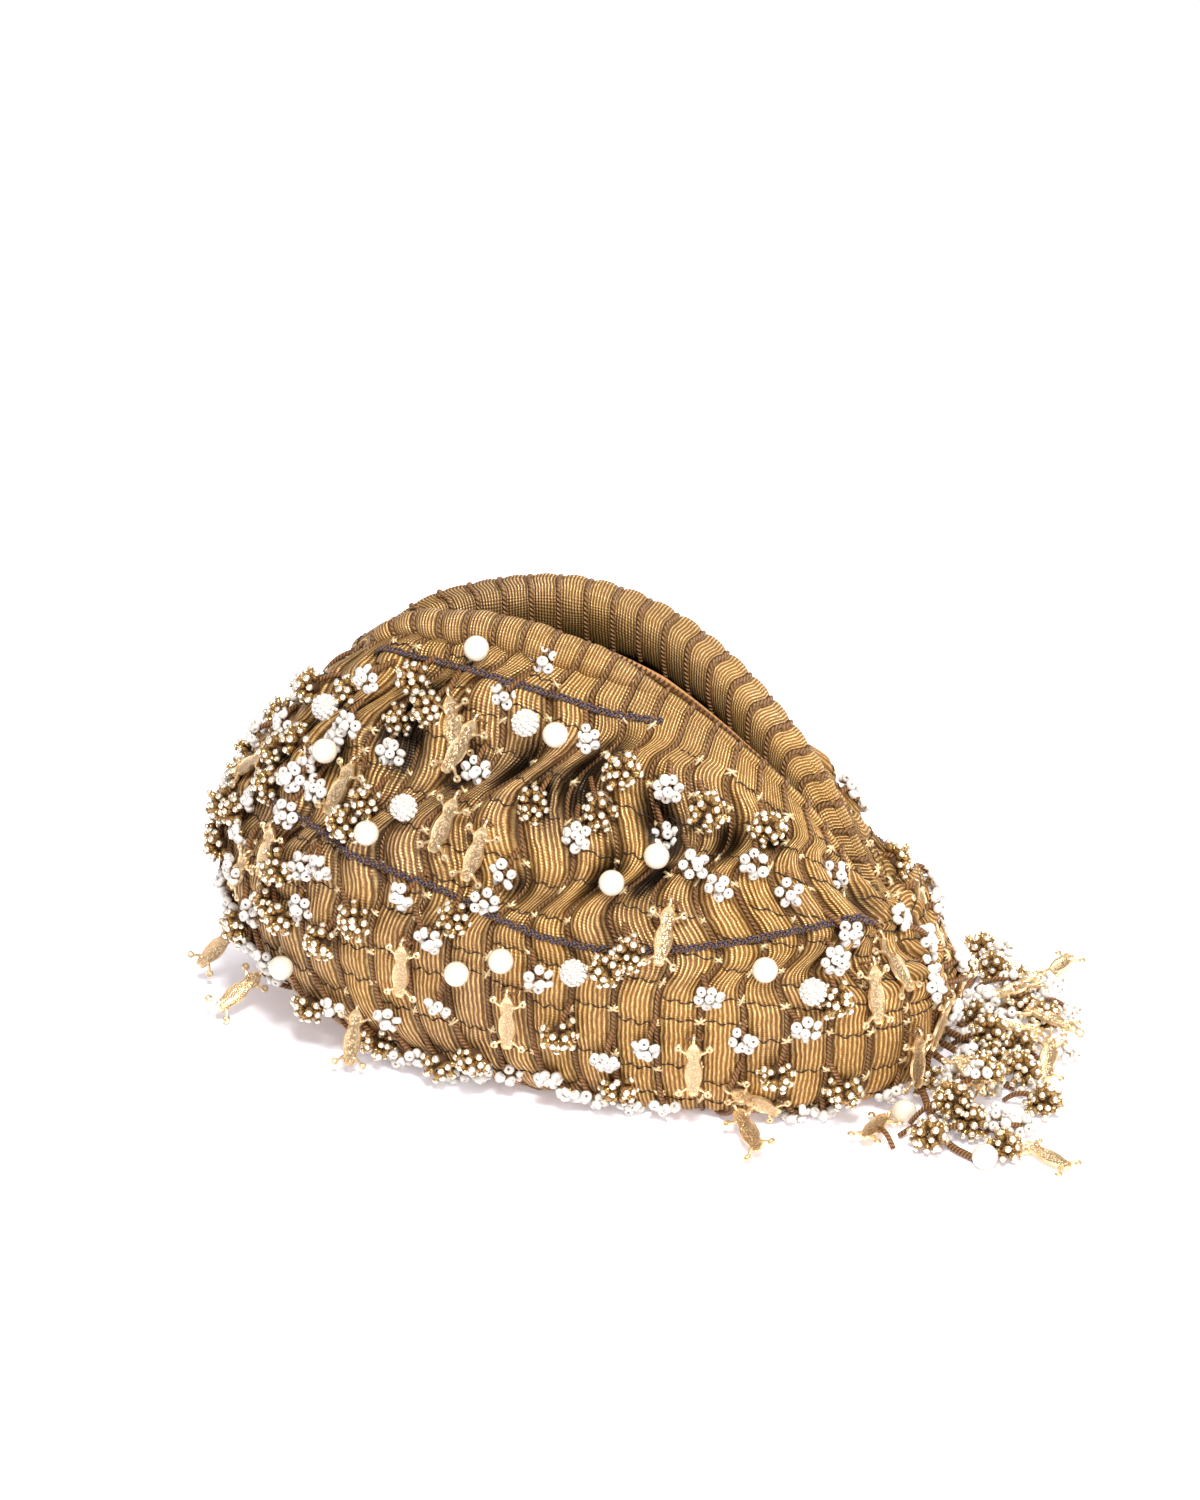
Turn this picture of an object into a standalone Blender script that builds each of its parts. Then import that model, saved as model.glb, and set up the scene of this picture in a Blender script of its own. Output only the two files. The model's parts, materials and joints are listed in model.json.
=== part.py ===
"""Models a gathered ribbon pouch with hanging charms, at rest on its base, in metres with Z up.

The origin is on the flat base, under the mouth. A place on the pouch is (cord, rise): cord counts the
seam cords round it, from 0 at the right end along the front to the left end and back along the rear,
and rise runs from 0 at the base's edge to 1 at the lip.
"""
import math

import bmesh
import bpy
import numpy as np
from mathutils import Matrix, Vector
from mathutils.bvhtree import BVHTree

GAP = 0.0003

# Pouch: ribbons sewn side by side, widest at the belly and drawn in to a long mouth
RIBS = 44
BELLY_LENGTH, BELLY_DEPTH, BELLY_HEIGHT = 0.242, 0.120, 0.042
BELLY_OFFSET, BELLY_POWER, BELLY_SLOPE = 0.004, 2.25, -0.09
BELLY_RISE = 0.3
BASE_LENGTH, BASE_DEPTH = 0.168, 0.088
BASE_OFFSET, BASE_POWER = 0.018, 2.2
WALL = 0.0045
RIB_CROWN, RIB_VALLEY = 0.0008, 0.0016
RIB_FADE_RISE = 0.12
SWAY_CORDS, SWAY_WAVES, SWAY_TWIST = 0.3, 3.2, 0.17
HOLLOW_DEPTH = 0.007

# Mouth: the share of the way from its left end to its right end, then the front and rear lips'
# heights, their roll radii, and how far the binding stands above the front lip
MOUTH_LEFT, MOUTH_RIGHT = -0.068, 0.098
FRONT_GAP, BACK_GAP = 0.013, 0.018
LIP = (
    (0.00, 0.124, 0.124, 0.0012, 0.0012, -0.0010),
    (0.07, 0.135, 0.135, 0.0020, 0.0020, -0.0010),
    (0.21, 0.143, 0.144, 0.0044, 0.0050, -0.0010),
    (0.41, 0.141, 0.147, 0.0046, 0.0065, -0.0010),
    (0.61, 0.127, 0.136, 0.0022, 0.0065, 0.0036),
    (0.76, 0.110, 0.117, 0.0018, 0.0055, 0.0036),
    (0.89, 0.091, 0.093, 0.0018, 0.0036, 0.0024),
    (1.00, 0.063, 0.063, 0.0014, 0.0014, 0.0000),
)
LIP_CROWN = 0.001
ROLL_REACH, LEAST_REACH = 1.9, 0.07
ROLL_RIBS = 0.35
RIBS_FLATTEN = 0.75
ROLL_ANGLES = (0, 50, 95, 145)
RIM_RISE = 0.97

# Folds between the gathered ribs: cord, rise, depth, width in cords and length in rise
FOLDS = (
    (10.8, 0.77, 0.0070, 0.75, 0.10),
    (8.9, 0.74, 0.0060, 0.70, 0.09),
    (10.0, 0.60, 0.0050, 0.60, 0.07),
    (8.5, 0.63, 0.0045, 0.60, 0.06),
    (13.1, 0.74, 0.0050, 0.65, 0.07),
    (16.2, 0.73, 0.0065, 0.90, 0.09),
    (19.2, 0.68, 0.0050, 0.90, 0.08),
    (7.0, 0.77, 0.0055, 0.75, 0.07),
    (5.5, 0.84, 0.0045, 0.70, 0.06),
    (2.2, 0.82, 0.0040, 0.80, 0.08),
    (12.2, 0.53, 0.0040, 0.60, 0.05),
    (25.0, 0.66, 0.0050, 0.85, 0.09),
    (27.6, 0.72, 0.0060, 0.80, 0.08),
    (30.1, 0.76, 0.0065, 0.75, 0.10),
    (32.4, 0.64, 0.0045, 0.70, 0.07),
    (34.7, 0.75, 0.0060, 0.80, 0.09),
    (37.5, 0.79, 0.0050, 0.75, 0.07),
    (41.0, 0.78, 0.0040, 0.80, 0.08),
)

# Rises of the shell's rings, as shares of the way to the rolled lip
OUTER_SHARES = (0.0, 0.06, 0.14, 0.25, 0.37, 0.50, 0.62, 0.73, 0.83, 0.92, 1.0)
INNER_RISES = (0.0, 0.20, 0.50, 0.88)
COLUMNS_PER_RIB = 3
RIBS_PER_INNER_COLUMN = 2

LINING = 0.0008
BINDING, BINDING_DROP = 0.0015, 0.003

# Braids couched over the ribs
BRAID_WIDTH, BRAID_HEIGHT, BRAID_LIFT = 0.0032, 0.0016, 0.0005
BRAID_STEP = 0.75
BRAIDS = {
    "braid_upper_front": ((9.7, 0.945), (11.0, 0.910), (13.5, 0.887), (16.5, 0.885), (19.5, 0.900)),
    "braid_upper_back": ((24.5, 0.890), (28.0, 0.870), (31.0, 0.870), (34.5, 0.885)),
    "braid_middle_front": ((1.8, 0.72), (3.3, 0.68), (4.4, 0.63), (6.2, 0.555), (8.3, 0.483),
                           (10.7, 0.452), (13.5, 0.483), (15.5, 0.492), (17.8, 0.525), (20.3, 0.530)),
    "braid_middle_back": ((23.7, 0.530), (28.0, 0.495), (33.0, 0.465), (37.5, 0.540), (42.0, 0.700)),
}

# Beads: places as (cord, rise)
PEARL_RADIUS = 0.004
PEARLS = (
    (15.8, 0.925), (17.8, 0.66), (15.6, 0.545), (12.3, 0.82), (9.5, 0.60), (8.6, 0.68), (17.6, 0.22),
    (12.6, 0.33), (11.6, 0.385), (5.6, 0.50), (29.4, 0.60), (34.0, 0.35),
)
BALL_RADIUS = 0.0044
BALLS = ((18.9, 0.74), (15.0, 0.61), (13.2, 0.82), (9.9, 0.40), (4.5, 0.46))
FLOWER_RADIUS, FLOWER_HEIGHT = 0.0050, 0.0036
PETALS = 5
FLOWERS = (
    (18.1, 0.815), (11.5, 0.84), (20.4, 0.68), (19.4, 0.42), (17.1, 0.43), (13.2, 0.25), (18.8, 0.17),
    (10.7, 0.16), (8.2, 0.26), (6.0, 0.74), (3.1, 0.83), (6.8, 0.40), (13.9, 0.95), (16.4, 0.69),
    (18.3, 0.59), (19.3, 0.33), (20.4, 0.26), (12.1, 0.55), (10.7, 0.66), (10.7, 0.36), (14.7, 0.20),
    (12.0, 0.12), (7.6, 0.69), (5.0, 0.70), (3.9, 0.55), (1.2, 0.43), (6.0, 0.29), (7.9, 0.12),
    (8.8, 0.82), (21.2, 0.62), (21.8, 0.44), (16.4, 0.18), (0.6, 0.52), (43.3, 0.40),
    (0.2, 0.27), (1.0, 0.74), (42.6, 0.60), (27.0, 0.39), (33.6, 0.72), (36.0, 0.62), (41.2, 0.50),
)
BUNCH_RADIUS, BUNCH_LIFT = 0.0056, 0.0022
BUNCHES = (
    (16.0, 0.79), (12.1, 0.69), (10.2, 0.81), (21.0, 0.36), (15.3, 0.37), (12.6, 0.17), (10.2, 0.26),
    (5.2, 0.24), (7.5, 0.81), (16.2, 0.29), (3.6, 0.20), (5.7, 0.84), (20.2, 0.78), (22.4, 0.52),
    (22.6, 0.34), (17.4, 0.16), (9.0, 0.16), (26.5, 0.78), (31.0, 0.72),
    (35.4, 0.44), (37.0, 0.28),
)

# Brass charms: a four-lugged plate on a ring, which hangs on a thread loop sewn through the ribbon
CHARM_LENGTH, CHARM_THICKNESS = 0.0205, 0.0012
CHARM_NECK, CHARM_WAIST, CHARM_REACH = 0.0011, 0.0030, 0.0048
RING_RADIUS, RING_WIRE = 0.0015, 0.00045
RING_SIDES, RING_WIRE_SIDES = 6, 3
LOOP_WIRE, LOOP_HALF_WIDTH, LOOP_SINK = 0.0005, 0.0023, 0.0012
LOOP_SIDES = 3
HUB_HEIGHT = 0.0024
CHARM_CLEARANCE = 0.0004
CHARM_LIFTED = 50
CHARMS = (
    (16.9, 0.66), (14.5, 0.80), (13.9, 0.66), (12.9, 0.63), (18.2, 0.49), (14.0, 0.36), (11.4, 0.31),
    (8.0, 0.60), (7.1, 0.29), (2.9, 0.56), (1.9, 0.29), (32.0, 0.60), (39.0, 0.44),
)

# Tassel: cords that leave the right end and lie on the table, each with a charm on its end
TASSEL_CORD = 0.0024
CORD_POINT_SPACING = 0.0062
TASSEL_ROUTES = (
    ((0.1174, -0.0187, 0.0090), (0.1216, -0.0220, 0.0060), (0.1250, -0.0270, 0.0026),
     (0.1290, -0.0350, 0.0015), (0.1360, -0.0440, 0.0015), (0.1440, -0.0485, 0.0015)),
    ((0.1217, -0.0065, 0.0102), (0.1275, -0.0076, 0.0072), (0.1320, -0.0110, 0.0030),
     (0.1360, -0.0180, 0.0015), (0.1430, -0.0280, 0.0015), (0.1540, -0.0350, 0.0015)),
    ((0.1213, 0.0008, 0.0108), (0.1280, 0.0015, 0.0072), (0.1330, 0.0010, 0.0032),
     (0.1390, -0.0020, 0.0015), (0.1480, -0.0050, 0.0015)),
    ((0.1212, 0.0092, 0.0102), (0.1269, 0.0110, 0.0069), (0.1315, 0.0130, 0.0028),
     (0.1390, 0.0160, 0.0015), (0.1490, 0.0210, 0.0015)),
    ((0.1174, 0.0187, 0.0090), (0.1216, 0.0220, 0.0060), (0.1255, 0.0270, 0.0024),
     (0.1320, 0.0360, 0.0015), (0.1400, 0.0480, 0.0015), (0.1440, 0.0600, 0.0015)),
    ((0.1125, 0.0260, 0.0100), (0.1162, 0.0305, 0.0064), (0.1185, 0.0360, 0.0024),
     (0.1200, 0.0460, 0.0015), (0.1215, 0.0560, 0.0015), (0.1220, 0.0660, 0.0015)),
)
TASSEL_ENDS = ("pearl", "brass", "flower", "flower", "brass", "bunch")
END_STANDOFF = 0.0004

# What is sewn beside the tassel cords: cord, share of its length, side (1 left of its way out), kind
TASSEL_SEWN = (
    (2, 0.62, -1, "bunch"), (2, 0.75, 1, "flower"), (3, 0.75, -1, "flower"), (3, 0.60, 1, "bunch"),
    (4, 0.80, -1, "bunch"), (4, 0.60, 1, "flower"), (5, 0.60, -1, "bunch"), (5, 0.60, 1, "flower"),
    (6, 0.80, -1, "bunch"), (5, 0.85, -1, "flower"), (1, 0.70, -1, "bunch"),
)


def clear_scene():
    for obj in list(bpy.data.objects):
        bpy.data.objects.remove(obj, do_unlink=True)


def superellipse(angle, half_length, half_depth, power):
    cosine, sine = np.cos(angle), np.sin(angle)
    x = half_length * np.sign(cosine) * np.abs(cosine) ** (2 / power)
    y = -half_depth * np.sign(sine) * np.abs(sine) ** (2 / power)
    return np.stack([x, y], -1)


def running_length(points):
    steps = np.linalg.norm(np.diff(points, axis=0), axis=1)
    return np.concatenate([[0.0], np.cumsum(steps)])


def even_loop(turn, length, depth, power):
    """Points spaced evenly round a superellipse, from its +X end along the front."""
    angles = np.linspace(0, 2 * np.pi, 2001)
    run = running_length(superellipse(angles, length / 2, depth / 2, power))
    angle = np.interp(np.mod(turn, 1) * run[-1], run, angles)
    return superellipse(angle, length / 2, depth / 2, power)


def smooth_curve(knots, values, at):
    """A cubic through the values, with each slope taken from the knots beside it."""
    slopes = np.gradient(values, knots)
    i = np.clip(np.searchsorted(knots, at) - 1, 0, len(knots) - 2)
    width = knots[i + 1] - knots[i]
    t = (at - knots[i]) / width
    return (
        (2 * t**3 - 3 * t**2 + 1) * values[i]
        + (t**3 - 2 * t**2 + t) * width * slopes[i]
        + (3 * t**2 - 2 * t**3) * values[i + 1]
        + (t**3 - t**2) * width * slopes[i + 1]
    )


LIP_SHARES, FRONT_HEIGHTS, BACK_HEIGHTS, FRONT_ROLLS, BACK_ROLLS, BINDING_RISES = np.array(LIP).T


def mouth_side(side):
    """One lip from the mouth's right end to its left end, and the share of its length at each point."""
    way = np.linspace(0, 1, 401)
    gap, heights = (FRONT_GAP, FRONT_HEIGHTS) if side < 0 else (BACK_GAP, BACK_HEIGHTS)
    x = MOUTH_RIGHT + (MOUTH_LEFT - MOUTH_RIGHT) * way
    y = side * gap * np.sqrt(np.clip(np.sin(np.pi * way), 0, 1))
    points = np.stack([x, y, smooth_curve(LIP_SHARES, heights, 1 - way)], -1)
    run = running_length(points)
    return points, run / run[-1]


MOUTH_SIDES = (mouth_side(-1), mouth_side(1))


def on_front(cord):
    return np.mod(cord, RIBS) <= RIBS / 2


def mouth(cord):
    turn = np.mod(cord, RIBS) / RIBS
    front = turn <= 0.5
    share = np.where(front, 2 * turn, 2 - 2 * turn)
    sides = [
        np.stack([np.interp(share, run, points[:, axis]) for axis in range(3)], -1)
        for points, run in MOUTH_SIDES
    ]
    return np.where(front[..., None], sides[0], sides[1])


def bezier(p0, p1, p2, p3, t):
    t = t[..., None]
    return (1 - t) ** 3 * p0 + 3 * t * (1 - t) ** 2 * p1 + 3 * t**2 * (1 - t) * p2 + t**3 * p3


def level_loop(cord, length, depth, power, offset, height):
    loop = even_loop(cord / RIBS, length, depth, power)
    return np.stack([loop[..., 0] + offset, loop[..., 1], np.full(loop.shape[:-1], height)], -1)


def pouch_point(cord, rise):
    """The pouch's mean surface, with no ribs and no folds."""
    cord, rise = np.broadcast_arrays(np.asarray(cord, float), np.asarray(rise, float))
    edge = level_loop(cord, BASE_LENGTH, BASE_DEPTH, BASE_POWER, BASE_OFFSET, 0.0)
    belly = level_loop(cord, BELLY_LENGTH, BELLY_DEPTH, BELLY_POWER, BELLY_OFFSET, BELLY_HEIGHT)
    belly[..., 2] += BELLY_SLOPE * belly[..., 0]
    lip = mouth(cord)
    up = np.array([0.0, 0.0, 1.0])
    sprung = edge + (belly - edge) * [0.75, 0.75, 0.0]
    low = bezier(edge, sprung, belly - up * BELLY_HEIGHT * 0.55, belly, np.clip(rise / BELLY_RISE, 0, 1))
    climb = (lip - belly)[..., 2:3] * up
    drawn_in = (belly - lip) * [0.45, 0.45, 0.0]
    above = np.clip((rise - BELLY_RISE) / (1 - BELLY_RISE), 0, 1)
    high = bezier(belly, belly + climb * 0.33, lip + drawn_in - climb * 0.22, lip, above)
    return np.where((rise < BELLY_RISE)[..., None], low, high)


def unit(vectors):
    return vectors / np.linalg.norm(vectors, axis=-1, keepdims=True)


def pouch_slopes(cord, rise):
    """Unit vectors along the ribbon, uphill, and out of the surface."""
    across = pouch_point(cord + 0.05, rise) - pouch_point(cord - 0.05, rise)
    uphill = pouch_point(cord, np.minimum(rise + 0.01, 1)) - pouch_point(cord, np.maximum(rise - 0.01, 0))
    return unit(uphill), unit(np.cross(uphill, across))


def smooth_step(start, end, value):
    t = np.clip((value - start) / (end - start), 0, 1)
    return t * t * (3 - 2 * t)


def rib_profile(cord):
    """0 on a seam cord and 1 over the middle of a ribbon."""
    return 1 - np.abs(2 * np.mod(cord, 1) - 1) ** 3


def fold_depth(cord, rise):
    depth = np.zeros(np.broadcast(cord, rise).shape)
    for at_cord, at_rise, deep, width, length in FOLDS:
        shape = np.exp(-(((cord - at_cord) / width) ** 2) - ((rise - at_rise) / length) ** 2)
        depth = np.maximum(depth, deep * shape)
    return depth


def gather_band(rise):
    """1 where the ribs are drawn together, fading to 0 at the belly and at the lip."""
    return smooth_step(0.35, 0.55, rise) * (1 - smooth_step(0.86, 0.95, rise))


def outer_point(cord, rise, rib_scale=1.0):
    """The ribbed and folded outer face."""
    sway = SWAY_CORDS * np.sin(2 * np.pi * (SWAY_WAVES * rise + SWAY_TWIST * cord)) * gather_band(rise)
    _, normal = pouch_slopes(cord + sway, rise)
    ribs = (RIB_CROWN + RIB_VALLEY) * rib_profile(cord) - RIB_VALLEY
    lift = rib_scale * ribs * smooth_step(0, RIB_FADE_RISE, rise) - fold_depth(cord, rise)
    return pouch_point(cord + sway, rise) + normal * lift[..., None]


def inset_ring(cord, rise, inset):
    """The ring of points at one rise, drawn in level by the inset on every side and lifted off the base."""
    whole = pouch_point(np.arange(RIBS), rise)
    low, high = whole.min(axis=0), whole.max(axis=0)
    middle, half_length = (low[0] + high[0]) / 2, (high[0] - low[0]) / 2
    ring = pouch_point(cord, rise)
    depth = np.where(ring[:, 1] < 0, -low[1], high[1])
    ring[:, 0] = middle + (ring[:, 0] - middle) * (half_length - inset) / half_length
    ring[:, 1] *= (depth - inset) / depth
    ring[:, 2] += inset * max(0.0, 1 - rise / BELLY_RISE)
    return ring


def inner_cords():
    """The seams that the pouch's inside and its lining have a column of points at."""
    return np.arange(0, RIBS, RIBS_PER_INNER_COLUMN)


def inner_inset(rise):
    return WALL + HOLLOW_DEPTH * gather_band(rise)


def lip_value(cord, front_values, back_values):
    share = (mouth(cord)[:, 0] - MOUTH_LEFT) / (MOUTH_RIGHT - MOUTH_LEFT)
    front = np.interp(share, LIP_SHARES, front_values)
    back = np.interp(share, LIP_SHARES, back_values)
    return np.where(on_front(cord), front, back)


def lip_frame(cord):
    """Unit vectors level out of the mouth, and square to the lip and to that."""
    along = mouth(cord + 0.1) - mouth(cord - 0.1)
    outward = unit(np.stack([along[:, 1], -along[:, 0], np.zeros(len(cord))], -1))
    outward *= np.sign((outward * (mouth(cord) - [(MOUTH_LEFT + MOUTH_RIGHT) / 2, 0, 0])).sum(1))[:, None]
    upright = unit(np.cross(along, outward))
    return outward, upright * np.sign(upright[:, 2:])


def mesh_object(name, vertices, faces, material=None):
    mesh = bpy.data.meshes.new(name)
    mesh.from_pydata([tuple(map(float, v)) for v in vertices], [], faces)
    work = bmesh.new()
    work.from_mesh(mesh)
    bmesh.ops.recalc_face_normals(work, faces=work.faces)
    work.to_mesh(mesh)
    work.free()
    return add_object(name, mesh, material)


def add_object(name, mesh, material=None):
    obj = bpy.data.objects.new(name, mesh)
    bpy.context.scene.collection.objects.link(obj)
    if material:
        mesh.materials.append(material)
    return obj


def make_material(name, colour, roughness, metallic):
    material = bpy.data.materials.new(name)
    material.use_nodes = True
    shader = material.node_tree.nodes["Principled BSDF"]
    shader.inputs["Base Color"].default_value = (*colour, 1)
    shader.inputs["Roughness"].default_value = roughness
    shader.inputs["Metallic"].default_value = metallic
    return material


def band_faces(first, second, count):
    """Quads between two rings of as many points, whose first indices are given."""
    return [
        (first + i, first + (i + 1) % count, second + (i + 1) % count, second + i)
        for i in range(count)
    ]


def inner_faces(upper, lower, count):
    """Triangles between two rings, split the same way on the shell's inside and on the lining."""
    faces = []
    for i in range(count):
        after = (i + 1) % count
        faces += [(upper + i, upper + after, lower + after), (upper + i, lower + after, lower + i)]
    return faces


def gather_faces(fine, coarse, fine_count, count):
    """Triangles from a ring of many points to a ring with a whole share of them."""
    share = fine_count // count
    turn = share // 2 + share % 2
    faces = []
    for i in range(count):
        here, after = coarse + i, coarse + (i + 1) % count
        columns = [fine + (i * share + k) % fine_count for k in range(share + 1)]
        faces += [(columns[k], columns[k + 1], here) for k in range(turn)]
        faces.append((columns[turn], after, here))
        faces += [(columns[k], columns[k + 1], after) for k in range(turn, share)]
    return faces


def shade_round(obj, degrees=50):
    obj.data.shade_smooth()
    obj.data.set_sharp_from_angle(angle=math.radians(degrees))


def shell_rings():
    """Rings from the base's edge up the outer face and over the rolled lip."""
    cord = np.arange(RIBS * COLUMNS_PER_RIB) / COLUMNS_PER_RIB
    radius = lip_value(cord, FRONT_ROLLS, BACK_ROLLS)
    slope = pouch_point(cord, 1) - pouch_point(cord, 0.9)
    join = 1 - np.maximum(LEAST_REACH, ROLL_REACH * radius / (10 * np.linalg.norm(slope, axis=1)))
    rings = []
    for share in OUTER_SHARES:
        flattening = (1 - radius / radius.max()) * smooth_step(RIBS_FLATTEN, 1, share)
        rings.append(outer_point(cord, share * join, 1 - flattening))
    outward, upright = lip_frame(cord)
    lip = mouth(cord)
    wall = WALL * np.abs(lip[:, 1]) / np.where(on_front(cord), FRONT_GAP, BACK_GAP)
    centre = lip + outward * (radius - wall)[:, None] - upright * (radius - LIP_CROWN)[:, None]
    for angle in ROLL_ANGLES:
        cosine, sine = math.cos(math.radians(angle)), math.sin(math.radians(angle))
        ribs = ROLL_RIBS * (rib_profile(cord) - 1) * (1 + cosine) / 2
        ray = outward * cosine + upright * sine
        rings.append(centre + ray * (radius * (1 + ribs))[:, None])
    return rings


def build_shell(material):
    fine = RIBS * COLUMNS_PER_RIB
    coarse = RIBS // RIBS_PER_INNER_COLUMN
    rings = shell_rings()
    rim = inset_ring(np.arange(RIBS), RIM_RISE, inner_inset(RIM_RISE))
    inner = [inset_ring(inner_cords(), rise, inner_inset(rise)) for rise in INNER_RISES[::-1]]
    vertices = np.concatenate(rings + [rim] + inner)
    faces = [tuple(range(fine))]
    for k in range(len(rings) - 1):
        faces += band_faces(k * fine, (k + 1) * fine, fine)
    start = len(rings) * fine
    faces += gather_faces(start - fine, start, fine, RIBS)
    faces += gather_faces(start, start + RIBS, RIBS, coarse)
    start += RIBS
    for k in range(len(inner) - 1):
        faces += inner_faces(start + k * coarse, start + (k + 1) * coarse, coarse)
    last = start + (len(inner) - 1) * coarse
    faces.append(tuple(range(last, last + coarse)))
    shell = mesh_object("bag_shell", vertices, faces, material)
    shade_round(shell, 60)
    return shell


def build_lining(material):
    """A thin cloth pouch inside the shell, closed over its top edge."""
    cord = inner_cords()
    count = len(cord)
    outer = [inset_ring(cord, rise, inner_inset(rise) + GAP) for rise in INNER_RISES]
    inner = [inset_ring(cord, rise, inner_inset(rise) + GAP + LINING) for rise in INNER_RISES[::-1]]
    vertices = np.concatenate(outer + inner)
    faces = [tuple(range(count))]
    for k in range(len(outer) + len(inner) - 1):
        low, high = sorted(((k + 1) * count, k * count), key=lambda ring: vertices[ring][2])
        faces += inner_faces(high, low, count)
    last = len(vertices) - count
    faces.append(tuple(range(last, last + count)))
    lining = mesh_object("lining", vertices, faces, material)
    shade_round(lining, 60)


def build_binding(material):
    """A flat strip stitched inside the lip, which stands above the front lip's right half."""
    cord = np.arange(RIBS)
    drop = np.full(RIBS, -BINDING_DROP)
    none = np.full(len(LIP_SHARES), BINDING_RISES.min())
    top = lip_value(cord, BINDING_RISES, none)
    corners = ((WALL + GAP, drop), (WALL + GAP, top), (WALL + GAP + BINDING, top), (WALL + GAP + BINDING, drop))
    rings = []
    for inset, lift in corners:
        ring = inset_ring(cord, 1.0, inset)
        ring[:, 2] += lift
        rings.append(ring)
    faces = []
    for k in range(len(rings)):
        faces += band_faces(k * RIBS, (k + 1) % len(rings) * RIBS, RIBS)
    mesh_object("mouth_binding", np.concatenate(rings), faces, material)


def tube(frames):
    """Vertices and faces of a closed bar through a list of cross-sections with as many corners each."""
    corners = len(frames[0])
    faces = [tuple(range(corners))]
    for k in range(len(frames) - 1):
        faces += band_faces(k * corners, (k + 1) * corners, corners)
    last = (len(frames) - 1) * corners
    faces.append(tuple(range(last, last + corners)))
    return np.concatenate(frames), faces


def build_braid(name, stops, material):
    """A flat braid over the ribs' crowns, through its (cord, rise) stops."""
    cords, rises = np.array(stops).T
    cord = np.arange(cords[0], cords[-1] + BRAID_STEP / 2, BRAID_STEP)
    rise = smooth_curve(cords, rises, np.minimum(cord, cords[-1]))
    uphill, normal = pouch_slopes(cord, rise)
    foot = pouch_point(cord, rise) + normal * (RIB_CROWN + BRAID_LIFT)
    half, height = uphill * BRAID_WIDTH / 2, normal * BRAID_HEIGHT
    corners = np.stack([foot - half, foot + half, foot + half + height, foot - half + height], 1)
    vertices, faces = tube(list(corners))
    mesh_object(name, vertices, faces, material)


def round_bar(points, radius, sides):
    """A bar with mitred corners along a bent wire's points."""
    points = [Vector(p) for p in points]
    frames = []
    normal = (points[1] - points[0]).cross(points[2] - points[1]).normalized()
    for k, point in enumerate(points):
        before = (point - points[max(k - 1, 0)]).normalized()
        after = (points[min(k + 1, len(points) - 1)] - point).normalized()
        along = (before + after).normalized()
        mitre = 1 / max(0.5, along.dot(after) if after.length else along.dot(before))
        side = along.cross(normal)
        frames.append([
            point + side * (radius * mitre * math.cos(a)) + normal * (radius * math.sin(a))
            for a in (2 * math.pi * (i + 0.5) / sides for i in range(sides))
        ])
    return tube(frames)


class Seats:
    """Finds places on what is already built, and keeps what is added clear of it."""

    def __init__(self):
        self.trees = []

    def add(self, obj):
        bpy.context.view_layer.update()
        evaluated = obj.evaluated_get(bpy.context.evaluated_depsgraph_get())
        mesh = evaluated.to_mesh()
        vertices = [obj.matrix_world @ v.co for v in mesh.vertices]
        self.trees.append(BVHTree.FromPolygons(vertices, [tuple(p.vertices) for p in mesh.polygons]))
        evaluated.to_mesh_clear()

    def frame(self, cord, rise):
        """The mean surface's point there, and its unit vectors downhill and outward."""
        uphill, normal = pouch_slopes(np.array(cord), np.array(rise))
        return Vector(pouch_point(cord, rise)), -Vector(uphill), Vector(normal)

    def drop(self, point, normal, reach=0.02):
        """Where a line along the normal first meets what is built, from outside."""
        start = point + normal * reach
        hits = [tree.ray_cast(start, -normal, 2 * reach) for tree in self.trees]
        found = [hit for hit in hits if hit[0] is not None]
        return min(found, key=lambda hit: hit[3])[0] if found else point

    def clearance(self, point):
        """Distance to the nearest surface, negative inside a solid."""
        best = math.inf
        for tree in self.trees:
            nearest, normal, _, distance = tree.find_nearest(point)
            if distance < abs(best):
                inside = (point - nearest).dot(normal) < -0.5 * distance
                best = -distance if inside else distance
        return best

    def rest_ball(self, cord, rise, radius):
        """The centre of a ball laid on the surface with the usual gap."""
        point, _, normal = self.frame(cord, rise)
        centre = self.drop(point, normal) + normal * (radius + GAP)
        for _ in range(40):
            short = radius + GAP - self.clearance(centre)
            if short <= GAP / 10:
                break
            centre = centre + normal * short
        return centre


def flower_shape(radius, height):
    """A low boss with its petals' tips round a hollow, from its foot at the origin up +Z."""
    ring = [(math.cos(a), math.sin(a)) for a in (2 * math.pi * i / PETALS for i in range(PETALS))]
    foot = [(radius * 0.7 * x, radius * 0.7 * y, 0) for x, y in ring]
    tips = [(radius * x, radius * y, height) for x, y in ring]
    faces = [tuple(range(PETALS))] + band_faces(0, PETALS, PETALS)
    faces += [(PETALS + i, PETALS + (i + 1) % PETALS, 2 * PETALS) for i in range(PETALS)]
    return foot + tips + [(0, 0, height * 0.7)], faces


def bunch_shape(radius):
    """A knobbed clump of drop beads about the origin."""
    work = bmesh.new()
    bmesh.ops.create_icosphere(work, subdivisions=1, radius=radius)
    vertices = [v.co * (1.0 if i % 2 else 0.86) for i, v in enumerate(work.verts)]
    faces = [tuple(v.index for v in f.verts) for f in work.faces]
    work.free()
    return vertices, faces


def ball_mesh(name, radius, material):
    mesh = bpy.data.meshes.new(name)
    work = bmesh.new()
    bmesh.ops.create_icosphere(work, subdivisions=2, radius=radius)
    work.to_mesh(mesh)
    work.free()
    mesh.materials.append(material)
    mesh.shade_smooth()
    return mesh


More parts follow.
